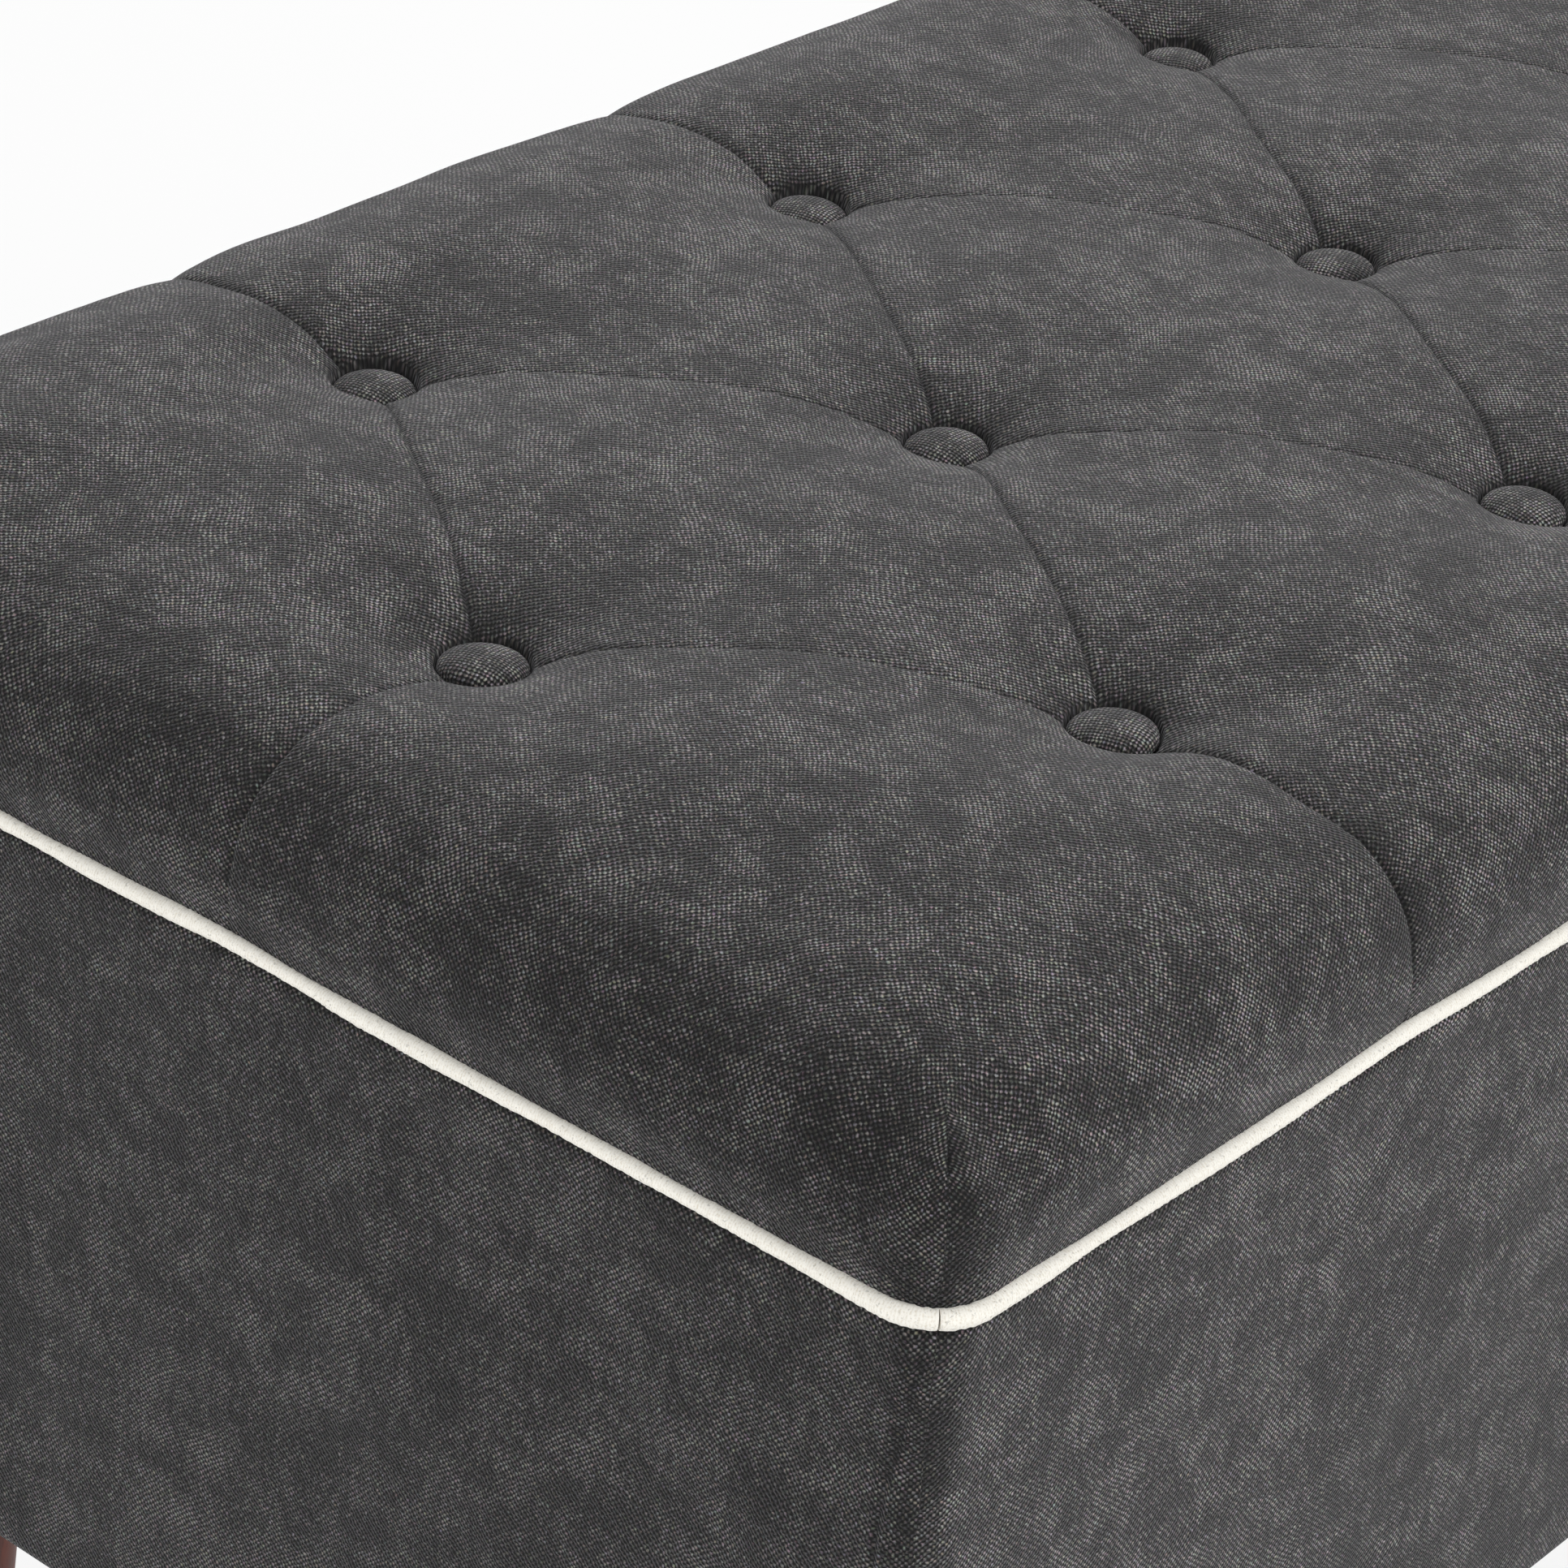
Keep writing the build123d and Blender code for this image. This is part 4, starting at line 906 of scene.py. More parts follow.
        # Shoulder and side: how far out, down and along the cloth each ring lies, and how steep
        turn = math.pi / 2 - slope
        side_arc = (rise**2 + tuck**2) / (2 * tuck)
        profile = [
            (
                shoulder * (math.sin(slope + b) - math.sin(slope)),
                shoulder * (math.cos(slope) - math.cos(slope + b)),
                shoulder * b,
                b / turn * math.pi / 2,
            )
            for b in np.linspace(0, turn, self.SHOULDER_RINGS + 1)[1:]
        ]
        widest_out, widest_down, widest_reach, _ = profile[-1]
        for d in np.linspace(0, rise, self.SIDE_RINGS + 1)[1:]:
            tucked = side_arc - math.sqrt(side_arc**2 - d**2)
            profile.append((widest_out - tucked, widest_down + d, widest_reach + d * 1.01, math.pi / 2))
        last_out, lowest, total, _ = profile[-1]
        base = outline.base
        base_level, base_fold, base_depth = level(base[:, 0], base[:, 1])
        plain = base_level + base_depth
        base_soft = at_corner(base[:, 0], base[:, 1])
        from_seam = self.from_corner(outline)
        before = (0.0, 0.0)

        def join(current, out, reach):
            """Sew a ring to the one above it."""
            nonlocal previous, before
            reaches = (reach, before[1])

            def place(side, along, ring):
                direction, outward = side_axes(side)
                return direction * along + outward * (edge_half[1 - side % 2] + reaches[ring])

            rings.join(current, previous, (out, before[0]), place)
            previous, before = current, (out, reach)

        for out, fall, reach, lean in profile:
            fade = 1 - 0.72 * smooth_step(reach, 0, total)
            fade += sizes.shoulder_pull * bell(reach, *self.PULL)
            beside = from_seam * (corner_base + out)
            seam = bell(beside, 0, self.SEAM_WIDTH) * (0.22 + 0.78 * bell(reach, *self.SEAM))
            seam *= smooth_step(reach, 9, 14)
            pinch = 1.1 * np.exp(-np.abs(beside) / 3.0) * bell(reach, *self.PINCH)
            ripple = 0.5 * waves(base[:, 0] + base[:, 1] * 1.7, base[:, 1] * 0.3 + fall, 70.0, 13)
            ripple *= smooth_step(reach, 0, 12) * (1 - smooth_step(reach, total - 14, total))
            soft = base_soft * bell(reach, *self.SOFT)
            inward = base_depth * fade + 0.8 * seam + pinch + soft - ripple
            inward = np.maximum(inward, 0.0 if reach > widest_reach * 0.8 else -1.0)
            flat = outline.plan(out) - outline.normal * (inward * math.sin(lean)).reshape(-1, 1)
            z = low_z + (plain - low_z) * (1 - fall / lowest) - inward * math.cos(lean)
            z = np.full(outline.count, low_z) if reach == total else np.maximum(z, low_z)
            # The fold value is painted shade along the creases and the corner seam.
            fold = np.maximum(base_fold * (1 - 0.35 * smooth_step(reach, 0, total)), seam)
            # Band over the end shoulders where the painted glints are stronger.
            glint_bands.append(outline.normal[:, 0] ** 2 * bell(reach, *self.RUB))
            join(rings.add(flat, z, fold), out, reach)

        # Hem turned under the board, then a closing panel hidden by the lining
        for inset, z in ((self.HEM / 2, low_z), (self.HEM, low_z), (self.HEM, low_z + self.HEM_RISE)):
            flat = outline.shrunk(half - 1 - inset, 1 - inset / centre)
            glint_bands.append(np.zeros(outline.count))
            join(rings.add(flat, z), last_out, total + inset)
            before = (last_out, total)
        rings.faces.append(previous[::-1].tolist())
        rings.uv += list(rings.verts[-1][::-1, :2])

        mesh = rings.mesh("tufted_lid_cover")
        store(mesh, "pulled", np.concatenate(glint_bands))
        self.plump(context, mesh, tufting)
        brush(mesh)
        nodes = ("lid_cover", "lid_foam")
        piece = add_piece("tufted_lid_cover", mesh, "fabric", "lid", nodes, "charcoal_fabric")
        return {"FINISHED"}

    def stray(self, plan, edge_half, tufting):
        """Plan points moved a little, so that no pleat runs dead straight between its buttons."""
        sway = np.column_stack([waves(plan[:, 0], plan[:, 1], 62.0, seed) for seed in (14, 15)])
        inside = (edge_half - np.abs(plan)).min(axis=1)
        free = smooth_step(tufting.nearest(plan), tufting.radius + 2, 34) * smooth_step(inside, 0, 22)
        return plan + 1.5 * sway * free.reshape(-1, 1)

    def plump(self, context, mesh, tufting):
        """Swell the pad as cloth under pressure, held at its buttons, pleats and lower edge."""
        sizes = context.scene.bench_sizes
        most, side_most = in_mm(sizes.cloth_swell, sizes.cloth_side_swell)
        model = place_object("pad cloth", mesh.copy())
        remesh = model.modifiers.new("Even mesh", "REMESH")
        remesh.mode, remesh.voxel_size = "VOXEL", sizes.cloth_spacing
        context.view_layer.update()
        even = bpy.data.meshes.new_from_object(evaluated(model))
        model.modifiers.remove(remesh)
        model.data = even
        rest = read_points(even)
        _, fold = tufting(rest[:, 0], rest[:, 1])
        held = np.where(fold > 0.3, self.PLEAT_HOLD, 0.0)
        fixed = (tufting.nearest(rest) < tufting.radius + 4) | (rest[:, 2] < LID_LOW[2] + 5)
        held = np.where(fixed, 1.0, held)
        group = model.vertex_groups.new(name="Held")
        for weight in (self.PLEAT_HOLD, 1.0):
            group.add(np.flatnonzero(held == weight).tolist(), weight, "REPLACE")
        cloth = model.modifiers.new("Cover", "CLOTH")
        for key, value in self.CLOTH.items():
            setattr(cloth.settings, key, value)
        cloth.settings.effector_weights.gravity = 0.0
        cloth.point_cache.frame_start, cloth.point_cache.frame_end = 1, self.CLOTH_FRAMES
        for step in range(1, self.CLOTH_FRAMES + 1):
            context.scene.frame_set(step)
        move = read_points(evaluated(model).to_mesh()) - rest
        context.scene.frame_set(1)
        bpy.data.objects.remove(model)
        bpy.data.meshes.remove(even)
        size = np.linalg.norm(move, axis=1)
        if not np.isfinite(size).all():
            raise RuntimeError("the pad's cloth did not settle")
        move *= np.minimum(1, most / np.maximum(size, 1e-6)).reshape(-1, 1)
        tree = tree_of(rest)
        points = read_points(mesh)
        carried = np.zeros_like(points)
        for i, point in enumerate(points):
            near = tree.find_n(point, 9)
            weights = np.array([1 / (gap + 1.5) for _, _, gap in near])
            carried[i] = weights @ move[[index for _, index, _ in near]] / weights.sum()
        carried[:, :2] = np.clip(carried[:, :2], -side_most, side_most)
        free = smooth_step(points[:, 2], LID_LOW[2] + 1, LID_LOW[2] + 14)
        free *= smooth_step(tufting.nearest(points), tufting.radius, 22)
        write_points(mesh, points + carried * free.reshape(-1, 1))

    def from_corner(self, outline):
        """Signed angle of each station from its corner's mitre; far from a corner it is large."""
        return np.array([math.pi / 4 - abs(p[1]) if isinstance(p, tuple) else 9.0 for p in outline.path])

    def scatter(self, outline, tufting, edge_half, step):
        """Points for the pad's top: the outline, the pleats, rings round the buttons, then an even field."""
        points, kept = [tuple(p) for p in outline.base], []

        def within(p, margin):
            return abs(p[0]) < edge_half[0] - margin and abs(p[1]) < edge_half[1] - margin

        def find(tree, p):
            """Number and distance of the point nearest to p."""
            return tree.find((p[0], p[1], 0.0))[1:]

        clear = tufting.radius + 0.9
        lines = []
        for a, b in tufting.diagonals + tufting.edges:
            unit = (b - a) / np.linalg.norm(b - a)
            end = b - unit * clear
            if len(lines) >= len(tufting.diagonals):
                end, axis = a.copy(), int(abs(unit[0]) <= 0.5)
                end[axis] = math.copysign(edge_half[axis], b[axis])
            lines.append((a + unit * clear, end))
        border = tree_of(points)
        for a, b in lines:
            number = int(np.linalg.norm(b - a) / self.PLEAT_SPACINGS[0])
            last = None
            for k in range(number + 1):
                p = a + (b - a) * k / number
                index, gap = find(border, p)
                if gap >= 0.05:
                    if not within(p, 0.4):
                        continue
                    index = len(points)
                    points.append(tuple(p))
                if last is not None:
                    kept.append((last, index))
                last = index
        spine, flanks = tree_of(points), []
        for a, b in lines:
            span = np.linalg.norm(b - a)
            unit = (b - a) / span
            square = np.array([-unit[1], unit[0]])
            for offset, spacing in zip(self.PLEAT_OFFSETS, self.PLEAT_SPACINGS):
                number = int(span / spacing)
                for side in (-1, 1):
                    for k in range(1, number + 1):
                        p = a + unit * (k * span / (number + 1)) + square * side * offset
                        far = np.hypot(*(tufting.buttons - p).T).min() > clear + 2 * offset
                        if far and within(p, 0.8) and find(spine, p)[1] > offset * 0.7:
                            flanks.append(tuple(p))
        points += flanks
        pleats, round_buttons = tree_of(points), []
        for x, y in tufting.buttons:
            for r, number in self.BUTTON_RINGS:
                for k in range(number):
                    turn = 2 * math.pi * k / number + r
                    p = (x + r * math.cos(turn), y + r * math.sin(turn))
                    if within(p, 1.0) and find(pleats, p)[1] > 0.7:
                        round_buttons.append(p)
        points += round_buttons
        placed = tree_of(points)
        row_step = step * math.sqrt(3) / 2
        rows, columns = (int(size / gap) for size, gap in ((edge_half[1], row_step), (edge_half[0], step)))
        for row in range(-rows - 1, rows + 2):
            shift = step / 2 if row % 2 else 0.0
            for column in range(-columns - 1, columns + 2):
                p = (column * step + shift, row * row_step)
                if within(p, step * 0.45) and find(placed, p)[1] > step * 0.55:
                    points.append(p)
        return points, kept


class BENCH_OT_buttons(bpy.types.Operator):
    """Make the covered buttons, one shape set at every place"""

    bl_idname = "bench.buttons"
    bl_label = "Covered Buttons"

    SEGMENTS = 48
    DOME_STEPS = 10
    DOME_FOOT = 2.6
    LEAN = math.radians(3.0)

    def execute(self, context):
        shape = self.shape(context.scene.bench_sizes.button_radius / MM, BUTTONS_HIGH[2] - BUTTONS_LOW[2])
        model = place_object("button shape", shape)
        seats = bpy.data.meshes.new("button seats")
        seats.from_pydata([(x * MM, y * MM, BUTTONS_LOW[2] * MM) for x, y in button_places()], [], [])
        mesh = self.tree().result(seats, Button=model, Lean=self.LEAN, Seed=4, Material=finish("fabric"))
        bpy.data.objects.remove(model)
        if "Cloth" not in mesh.uv_layers:
            raise RuntimeError("the buttons lost their cloth places")
        nodes = ("button_covers", "button_shells")
        add_piece("covered_buttons", mesh, "fabric", "lid", nodes, "charcoal_fabric")
        return {"FINISHED"}

    def shape(self, radius, height):
        """One domed button with its cloth gathered under the rim."""
        profile = [(0.0, height)]
        for k in range(1, self.DOME_STEPS + 1):
            angle = k / self.DOME_STEPS * math.radians(90)
            sunk = 1 - math.cos(angle) ** 0.85 if k < self.DOME_STEPS else 1.0
            profile.append((radius * math.sin(angle) ** 0.92, height - (height - self.DOME_FOOT) * sunk))
        profile += [(radius - 0.1, 1.6), (radius - 0.9, 0.5), (radius - 2.4, 0.0), (0.0, 0.0)]
        rings, segments = profile[1:-1], self.SEGMENTS
        turns = [2 * math.pi * k / segments for k in range(segments)]
        points, faces, uv = [(0.0, 0.0, height)], [], []
        for number, (r, z) in enumerate(rings):
            for turn in turns:
                gather = 0.10 * math.sin(turn * 19 + 1.3) * smooth_step(number, 6, 11) * (number < 12)
                points.append(((r + gather) * math.cos(turn), (r + gather) * math.sin(turn), z))
        points.append((0.0, 0.0, 0.0))
        last = len(points) - 1

        def at(number, k):
            return 1 + number * segments + k % segments

        for k in range(segments):
            faces.append((0, at(0, k), at(0, k + 1)))
            for number in range(len(rings) - 1):
                faces.append((at(number, k), at(number + 1, k), at(number + 1, k + 1), at(number, k + 1)))
            faces.append((at(len(rings) - 1, k), last, at(len(rings) - 1, k + 1)))
        spread = [0.0]
        for (r0, z0), (r1, z1) in zip(profile, profile[1:]):
            spread.append(spread[-1] + math.hypot(r1 - r0, z1 - z0))
        for index in (i for face in faces for i in face):
            if index in (0, last):
                uv.append((0.0, 0.0))
            else:
                number, k = divmod(index - 1, segments)
                uv.append((spread[number + 1] * math.cos(turns[k]), spread[number + 1] * math.sin(turns[k])))
        return make_mesh("button shape", points, faces, uv)

    def tree(self):
        """Nodes that set one button on every point, each turned and leaning its own way."""
        g = GeometryTree("Set buttons", Button="Object", Lean="Float", Seed="Int", Material="Material")
        points = g.node("GeometryNodeMeshToPoints", {"Mesh": g.given["Source"]})
        model = g.node("GeometryNodeObjectInfo", {"Object": g.given["Button"]})
        lean = g.given["Lean"]
        back = g.math("MULTIPLY", lean, -1.0)
        low, high = g.join(back, back), g.join(lean, lean, 2 * math.pi)
        values = {"Min": low, "Max": high, "Seed": g.given["Seed"]}
        turn = g.node("FunctionNodeRandomValue", values, data_type="FLOAT_VECTOR").outputs["Value"]
        values = {"Points": points.outputs[0], "Instance": model.outputs["Geometry"], "Rotation": turn}
        g.close(g.node("GeometryNodeInstanceOnPoints", values).outputs[0])
        return g


class BENCH_OT_piping(bpy.types.Operator):
    """Make the piping round the lid, from its joint at the near corner and back"""

    bl_idname = "bench.piping"
    bl_label = "Piping"

    LEAF_LENGTH = 60.0
    LEAF_ROOM = 1.0
    LIFT = 1.3
    LIFT_REACH = 26.0
    FLANGE_WIDTH = 9.0
    FLANGE_THICKNESS = 0.78
    FLANGE_STEPS, ROUTE_STEPS = 8, 12
    STRAIGHT_STEP = 6
    TAPE = {"Spacing": 0.00056, "Lumps": 0.0009, "Swell": 0.0018}

    def execute(self, context):
        sizes = context.scene.bench_sizes
        radius, corner, gap = in_mm(sizes.piping_radius, sizes.piping_corner_radius, sizes.piping_gap)
        half = (PIPING_HIGH[:2] - PIPING_LOW[:2]) / 2 - radius
        route = self.route(half - corner, corner, gap / 2 / corner)
        sway = 0.35 * waves(route[:, 0], route[:, 1], 120.0, 21)
        heights = PIPING_HIGH[2] - radius + np.maximum(sway, -0.2) * 0.8
        for _, end in Tufting().edges:
            away = np.hypot(*(route - np.clip(end, -half, half)).T)
            heights += self.LIFT * bell(away, 0, self.LIFT_REACH)
        curve = bpy.data.curves.new("piping route", "CURVE")
        curve.dimensions = "3D"
        spline = curve.splines.new("POLY")
        spline.points.add(len(route) - 1)
        for point, (x, y), h in zip(spline.points, route, heights):
            point.co = (x * MM, y * MM, h * MM, 1.0)
        mesh = self.tree().result(curve, Radius=radius * MM, Material=finish("piping"), **self.TAPE)
        leaf_low, leaf_high = node_box("hinge_lid_leaves")
        reach = (leaf_high[0] - leaf_low[0] - self.LEAF_LENGTH) / 2
        leaves = (-reach, 0.0, reach)
        self.press_at_hinges(mesh, leaves)
        self.add_flange(mesh, half, corner, radius, leaves)
        mesh.polygons.foreach_set("use_smooth", [True] * len(mesh.polygons))
        add_piece("lid_piping_cord", mesh, "piping", "lid", ("lid_piping",), "ivory_piping")
        return {"FINISHED"}

    def route(self, centre, corner, lean):
        """Plan points of the cord, which starts and ends at a small gap on the near corner."""
        arcs = (
            ((-1, -1), 225, 270),
            ((1, -1), 270, 360),
            ((1, 1), 0, 90),
            ((-1, 1), 90, 180),
            ((-1, -1), 180, 225),
        )
        points = []
        for number, (signs, first, last) in enumerate(arcs):
            low = math.radians(first) + (lean if number == 0 else 0)
            high = math.radians(last) - (lean if number == len(arcs) - 1 else 0)
            steps = self.ROUTE_STEPS
            turns = [low + (high - low) * k / steps for k in range(steps + 1)]
            points += [corner_point(signs, centre, corner, turn) for turn in turns]
            if number < len(arcs) - 1:
                following, turn, _ = arcs[number + 1]
                begin, end = points[-1], corner_point(following, centre, corner, math.radians(turn))
                steps = int(math.hypot(*(end - begin)) / self.STRAIGHT_STEP)
                points += [begin + (end - begin) * k / steps for k in range(1, steps)]
        return np.array(points)

    def tree(self):
        """Nodes that wrap a round tape about the route and leave its length for the ribs."""
        g = GeometryTree(
            "Cover cord", Radius="Float", Spacing="Float", Lumps="Float", Swell="Float", Material="Material"
        )
        given = g.given
        values = {"Curve": given["Source"], "Length": given["Spacing"]}
        even = g.node("GeometryNodeResampleCurve", values, mode="LENGTH")
        reach = g.node("GeometryNodeSplineParameter").outputs["Length"]
        marked = g.node(
            "GeometryNodeStoreNamedAttribute",
            {"Geometry": even.outputs[0], "Name": "along", "Value": reach},
            data_type="FLOAT",
            domain="POINT",
        )
        ring = g.node("GeometryNodeCurvePrimitiveCircle", {"Resolution": 12, "Radius": given["Radius"]})
        tube = g.node(
            "GeometryNodeCurveToMesh",
            {"Curve": marked.outputs[0], "Profile Curve": ring.outputs[0], "Fill Caps": True},
        )
        lumps = g.math("SUBTRACT", g.noise(None, 900.0, 2.0), 0.62)
        swell = g.math("SUBTRACT", g.noise(None, 24.0, 1.0), 0.5)
        out = g.math("MULTIPLY_ADD", swell, given["Swell"], g.math("MULTIPLY", lumps, given["Lumps"]))
        push = g.vector("SCALE", g.node("GeometryNodeInputNormal").outputs[0], out)
        g.close(g.node("GeometryNodeSetPosition", {"Geometry": tube.outputs[0], "Offset": push}).outputs[0])
        return g

    def press_at_hinges(self, mesh, leaves):
        """Lift the piping's underside off each hinge leaf that crosses it."""
        points = read_points(mesh)
        start = self.LEAF_LENGTH / 2 + self.LEAF_ROOM
        for x in leaves:
            near = (1 - smooth_step(np.abs(points[:, 0] - x), start, start + 5)) * (points[:, 1] > 0)
            points[:, 2] += np.maximum(0, LID_LOW[2] + 0.1 - points[:, 2]) * near
        write_points(mesh, points)

    def add_flange(self, mesh, half, corner, radius, leaves):
        """Flat tape sewn under the lid's edge, split where the hinge leaves lie."""
        top = LID_LOW[2] - 0.02
        bottom = top - self.FLANGE_THICKNESS
        bm = bmesh.new()
        bm.from_mesh(mesh)
        rings = []
        for inset, z in ((0.0, top), (self.FLANGE_WIDTH, top), (self.FLANGE_WIDTH, bottom), (0.0, bottom)):
            r, ring = corner - radius / 2 - inset, []
            for signs, start in (((-1, -1), 180), ((1, -1), 270), ((1, 1), 0), ((-1, 1), 90)):
                for step in range(self.FLANGE_STEPS + 1):
                    angle = math.radians(start + 90 * step / self.FLANGE_STEPS)
                    x, y = corner_point(signs, half - corner, r, angle)
                    ring.append(bm.verts.new((x * MM, y * MM, z * MM)))
            rings.append(ring)
        for a, b in zip(rings, rings[1:] + rings[:1]):
            for i in range(len(a)):
                j = (i + 1) % len(a)
                bm.faces.new((a[j], a[i], b[i], b[j]))
        cut = self.LEAF_LENGTH / 2 + self.LEAF_ROOM
        for x in leaves:
            for side in (-1, 1):
                bmesh.ops.bisect_plane(
                    bm,
                    geom=bm.verts[:] + bm.edges[:] + bm.faces[:],
                    plane_co=((x + side * cut) * MM, 0, 0),
                    plane_no=(1, 0, 0),
                    dist=1e-7,
                )
        gone = []
        for f in bm.faces:
            middle = f.calc_center_median() / MM
            flat = middle.z < LID_LOW[2] and middle.y > 200 and len(f.verts) == 4
            if flat and any(abs(middle.x - x) < cut - 0.5 for x in leaves):
                if max(v.co.x for v in f.verts) - min(v.co.x for v in f.verts) > 0.05:
                    gone.append(f)
        bmesh.ops.delete(bm, geom=gone, context="FACES")
        bmesh.ops.holes_fill(bm, edges=[e for e in bm.edges if e.is_boundary], sides=8)
        layer = bm.verts.layers.float["along"]
        for v in bm.verts:
            if v[layer] == 0.0:
                v[layer] = v.co.x + v.co.y
        bm.to_mesh(mesh)
        bm.free()


class BENCH_OT_box_cover(bpy.types.Operator):
    """Make the padded cover round the box"""

    bl_idname = "bench.box_cover"
    bl_label = "Box Cover"

    HEM = 24.0
    BOARD = 6.4
    SEAM_WIDTH = 0.75
    STATION_STEP, LEVEL_STEP, CORNER_STEPS = 7.5, 6.5, 20
    # Where a side's cloth begins, how far apart the sides lie on it, and the hidden stretch inside
    CLOTH_START, CLOTH_SIDE, CLOTH_INSIDE = 700.0, 1300.0, 217.0

    def execute(self, context):
        sizes = context.scene.bench_sizes
        corner, edge = in_mm(sizes.box_corner_radius, sizes.box_edge_radius)
        half = (BOX_HIGH[:2] - BOX_LOW[:2]) / 2
        low_z, high_z = BOX_LOW[2], BOX_HIGH[2]
        centre = half - corner
        lining_low, lining_high = node_box("box_lining")
        inside = (lining_high[:2] - lining_low[:2]) / 2
        beside = ((0.8, 1.8, 3.2, 5.0), (0.8, 1.6, 2.4, 3.2, 4.2, 5.4, 7.0))
        stations = [graded(-c, c, self.STATION_STEP, [-c, c], near) for c, near in zip(centre, beside)]
        outline = Outline(half, centre, corner, *stations, corner_turns(self.CORNER_STEPS, (0.02, 0.045)))
        # Heights of the wall's rings and how far each stands out, round its lower and upper edge
        levels = [(low_z + edge * (1 - math.cos(a)), -edge * (1 - math.sin(a))) for a in (0.0, 0.5, 1.0)]
        wall = np.arange(low_z + edge, high_z - edge, self.LEVEL_STEP)
        levels += [(z, 0.0) for z in (*wall, high_z - edge)]
        upper = (0.5, 1.0, math.pi / 2)
        levels += [(high_z - edge * (1 - math.sin(a)), -edge * (1 - math.cos(a))) for a in upper]
        rings = Rings(outline)

        def join(lower, upper, low_reach, high_reach):
            """Sew two rings, each side of the box on its own stretch of cloth."""
            reaches = (low_reach, high_reach)

            def place(side, along, ring):
                return np.array([along + self.CLOTH_SIDE * side, reaches[ring] + self.CLOTH_START])

            rings.join(lower, upper, (0.0, 0.0), place)

        around = outline.base[:, 0] + 1.4 * outline.base[:, 1]
        back = (outline.normal[:, 1] > 0.5).astype(float)
        bottom, last, reach = None, None, 0.0
        for z, offset in levels:
            before = reach
            if last is not None:
                reach += math.hypot(z - last[0], offset - last[1])
            last = (z, offset)
            puff = 0.55 * waves(around, np.full(outline.count, z), 150.0, 31)
            puff += 0.25 * waves(around, np.full(outline.count, z * 1.3), 55.0, 32)
            free = smooth_step(z, low_z, low_z + 25) * (1 - smooth_step(z, high_z - 20, high_z))
            seam = self.seam(outline, 2.5 + 7.0 * smooth_step(high_z - z, 0, 60), corner)
            out = offset + np.minimum(puff * free, 0.5) * (1 - back) - 0.3 * back * free - 0.8 * seam
            # The seam's value is painted shade in the corner seams' grooves.
            current = rings.add(outline.plan(out), z, seam * 0.8)
            if bottom is None:
                bottom = current
            else:
                join(previous, current, before, reach)
            previous = current

        # Turned over the top edge and under the bottom edge, then down between the boards
        top, lower = previous, bottom
        skin = half - self.BOARD
        edge_width = float((half - inside)[0])
        for target, fall, distance in ((inside, 0.0, edge_width), (inside, 1.4, 25.0), (skin, 1.6, 45.0)):
            current = rings.add(outline.shrunk(target, target / half), high_z - fall)
            join(top, current, reach, reach + distance)
            top = current
        hem = half - self.HEM
        for target, rise, distance in ((hem, 0.0, 22.0), (hem, 1.4, 24.0), (skin, 1.5, 45.0)):
            current = rings.add(outline.shrunk(target, target / half), low_z + rise)
            join(current, lower, -distance, 0.0)
            lower = current
        join(top, lower, 0.0, self.CLOTH_INSIDE)
        mesh = rings.mesh("box_side_cover")
        brush(mesh)
        nodes = ("box_cover", "box_padding")
        piece = add_piece("box_side_cover", mesh, "fabric", "box", nodes, "charcoal_fabric")
        return {"FINISHED"}

    def seam(self, outline, drift, corner):
        """Strength of the upright corner seams at every station, at their drift onto the end faces."""
        away = np.full(outline.count, 99.0)
        for i, (side, path) in enumerate(zip(outline.side, outline.path)):
            if isinstance(path, tuple):
                arc = corner * (math.pi / 4 - abs(path[1]))
                away[i] = arc - drift if side % 2 else arc + drift
            elif side % 2:
                away[i] = outline.centre[1] - abs(path) + corner * math.pi / 4 - drift
        return bell(away, 0, self.SEAM_WIDTH)


def slab(name, low, high, bow=0.0, seed=1):
    """A thin closed cloth panel, a little wavy across its wide faces."""
    low, high = np.asarray(low, float), np.asarray(high, float)
    spacing = 16.0
    size = high - low
    thin = int(np.argmin(size))
    u, v = [axis for axis in range(3) if axis != thin]
    nu, nv = (max(2, int(size[a] / spacing)) for a in (u, v))
    us, vs = np.linspace(low[u], high[u], nu + 1), np.linspace(low[v], high[v], nv + 1)
    grid_u, grid_v = np.meshgrid(us, vs, indexing="ij")
    edge = np.min([grid_u - low[u], high[u] - grid_u, grid_v - low[v], high[v] - grid_v], axis=0)
    wave = bow * waves(grid_u, grid_v, 140.0, seed) * smooth_step(edge, 0, 30)
    verts = []
    for level in (low[thin], high[thin]):
        p = np.zeros((nu + 1, nv + 1, 3))
        p[..., u], p[..., v], p[..., thin] = grid_u, grid_v, level + wave
        verts.append(p.reshape(-1, 3))
    first = (nu + 1) * (nv + 1)

    def at(i, j, top):
        return i * (nv + 1) + j + (first if top else 0)

    faces = []
    for i in range(nu):
        for j in range(nv):
            quad = (at(i, j, 1), at(i + 1, j, 1), at(i + 1, j + 1, 1), at(i, j + 1, 1))
            faces += [quad, tuple(q - first for q in quad[::-1])]
    rim = [(i, 0) for i in range(nu)] + [(nu, j) for j in range(nv)]
    rim += [(i, nv) for i in range(nu, 0, -1)] + [(0, j) for j in range(nv, 0, -1)]
    for (i, j), (k, l) in zip(rim, rim[1:] + rim[:1]):
        faces.append((at(i, j, 0), at(k, l, 0), at(k, l, 1), at(i, j, 1)))
    mesh = make_mesh(name, np.vstack(verts), faces, smooth=False)
    bm = bmesh.new()
    bm.from_mesh(mesh)
    bmesh.ops.recalc_face_normals(bm, faces=bm.faces)
    bm.to_mesh(mesh)
    bm.free()
    return mesh


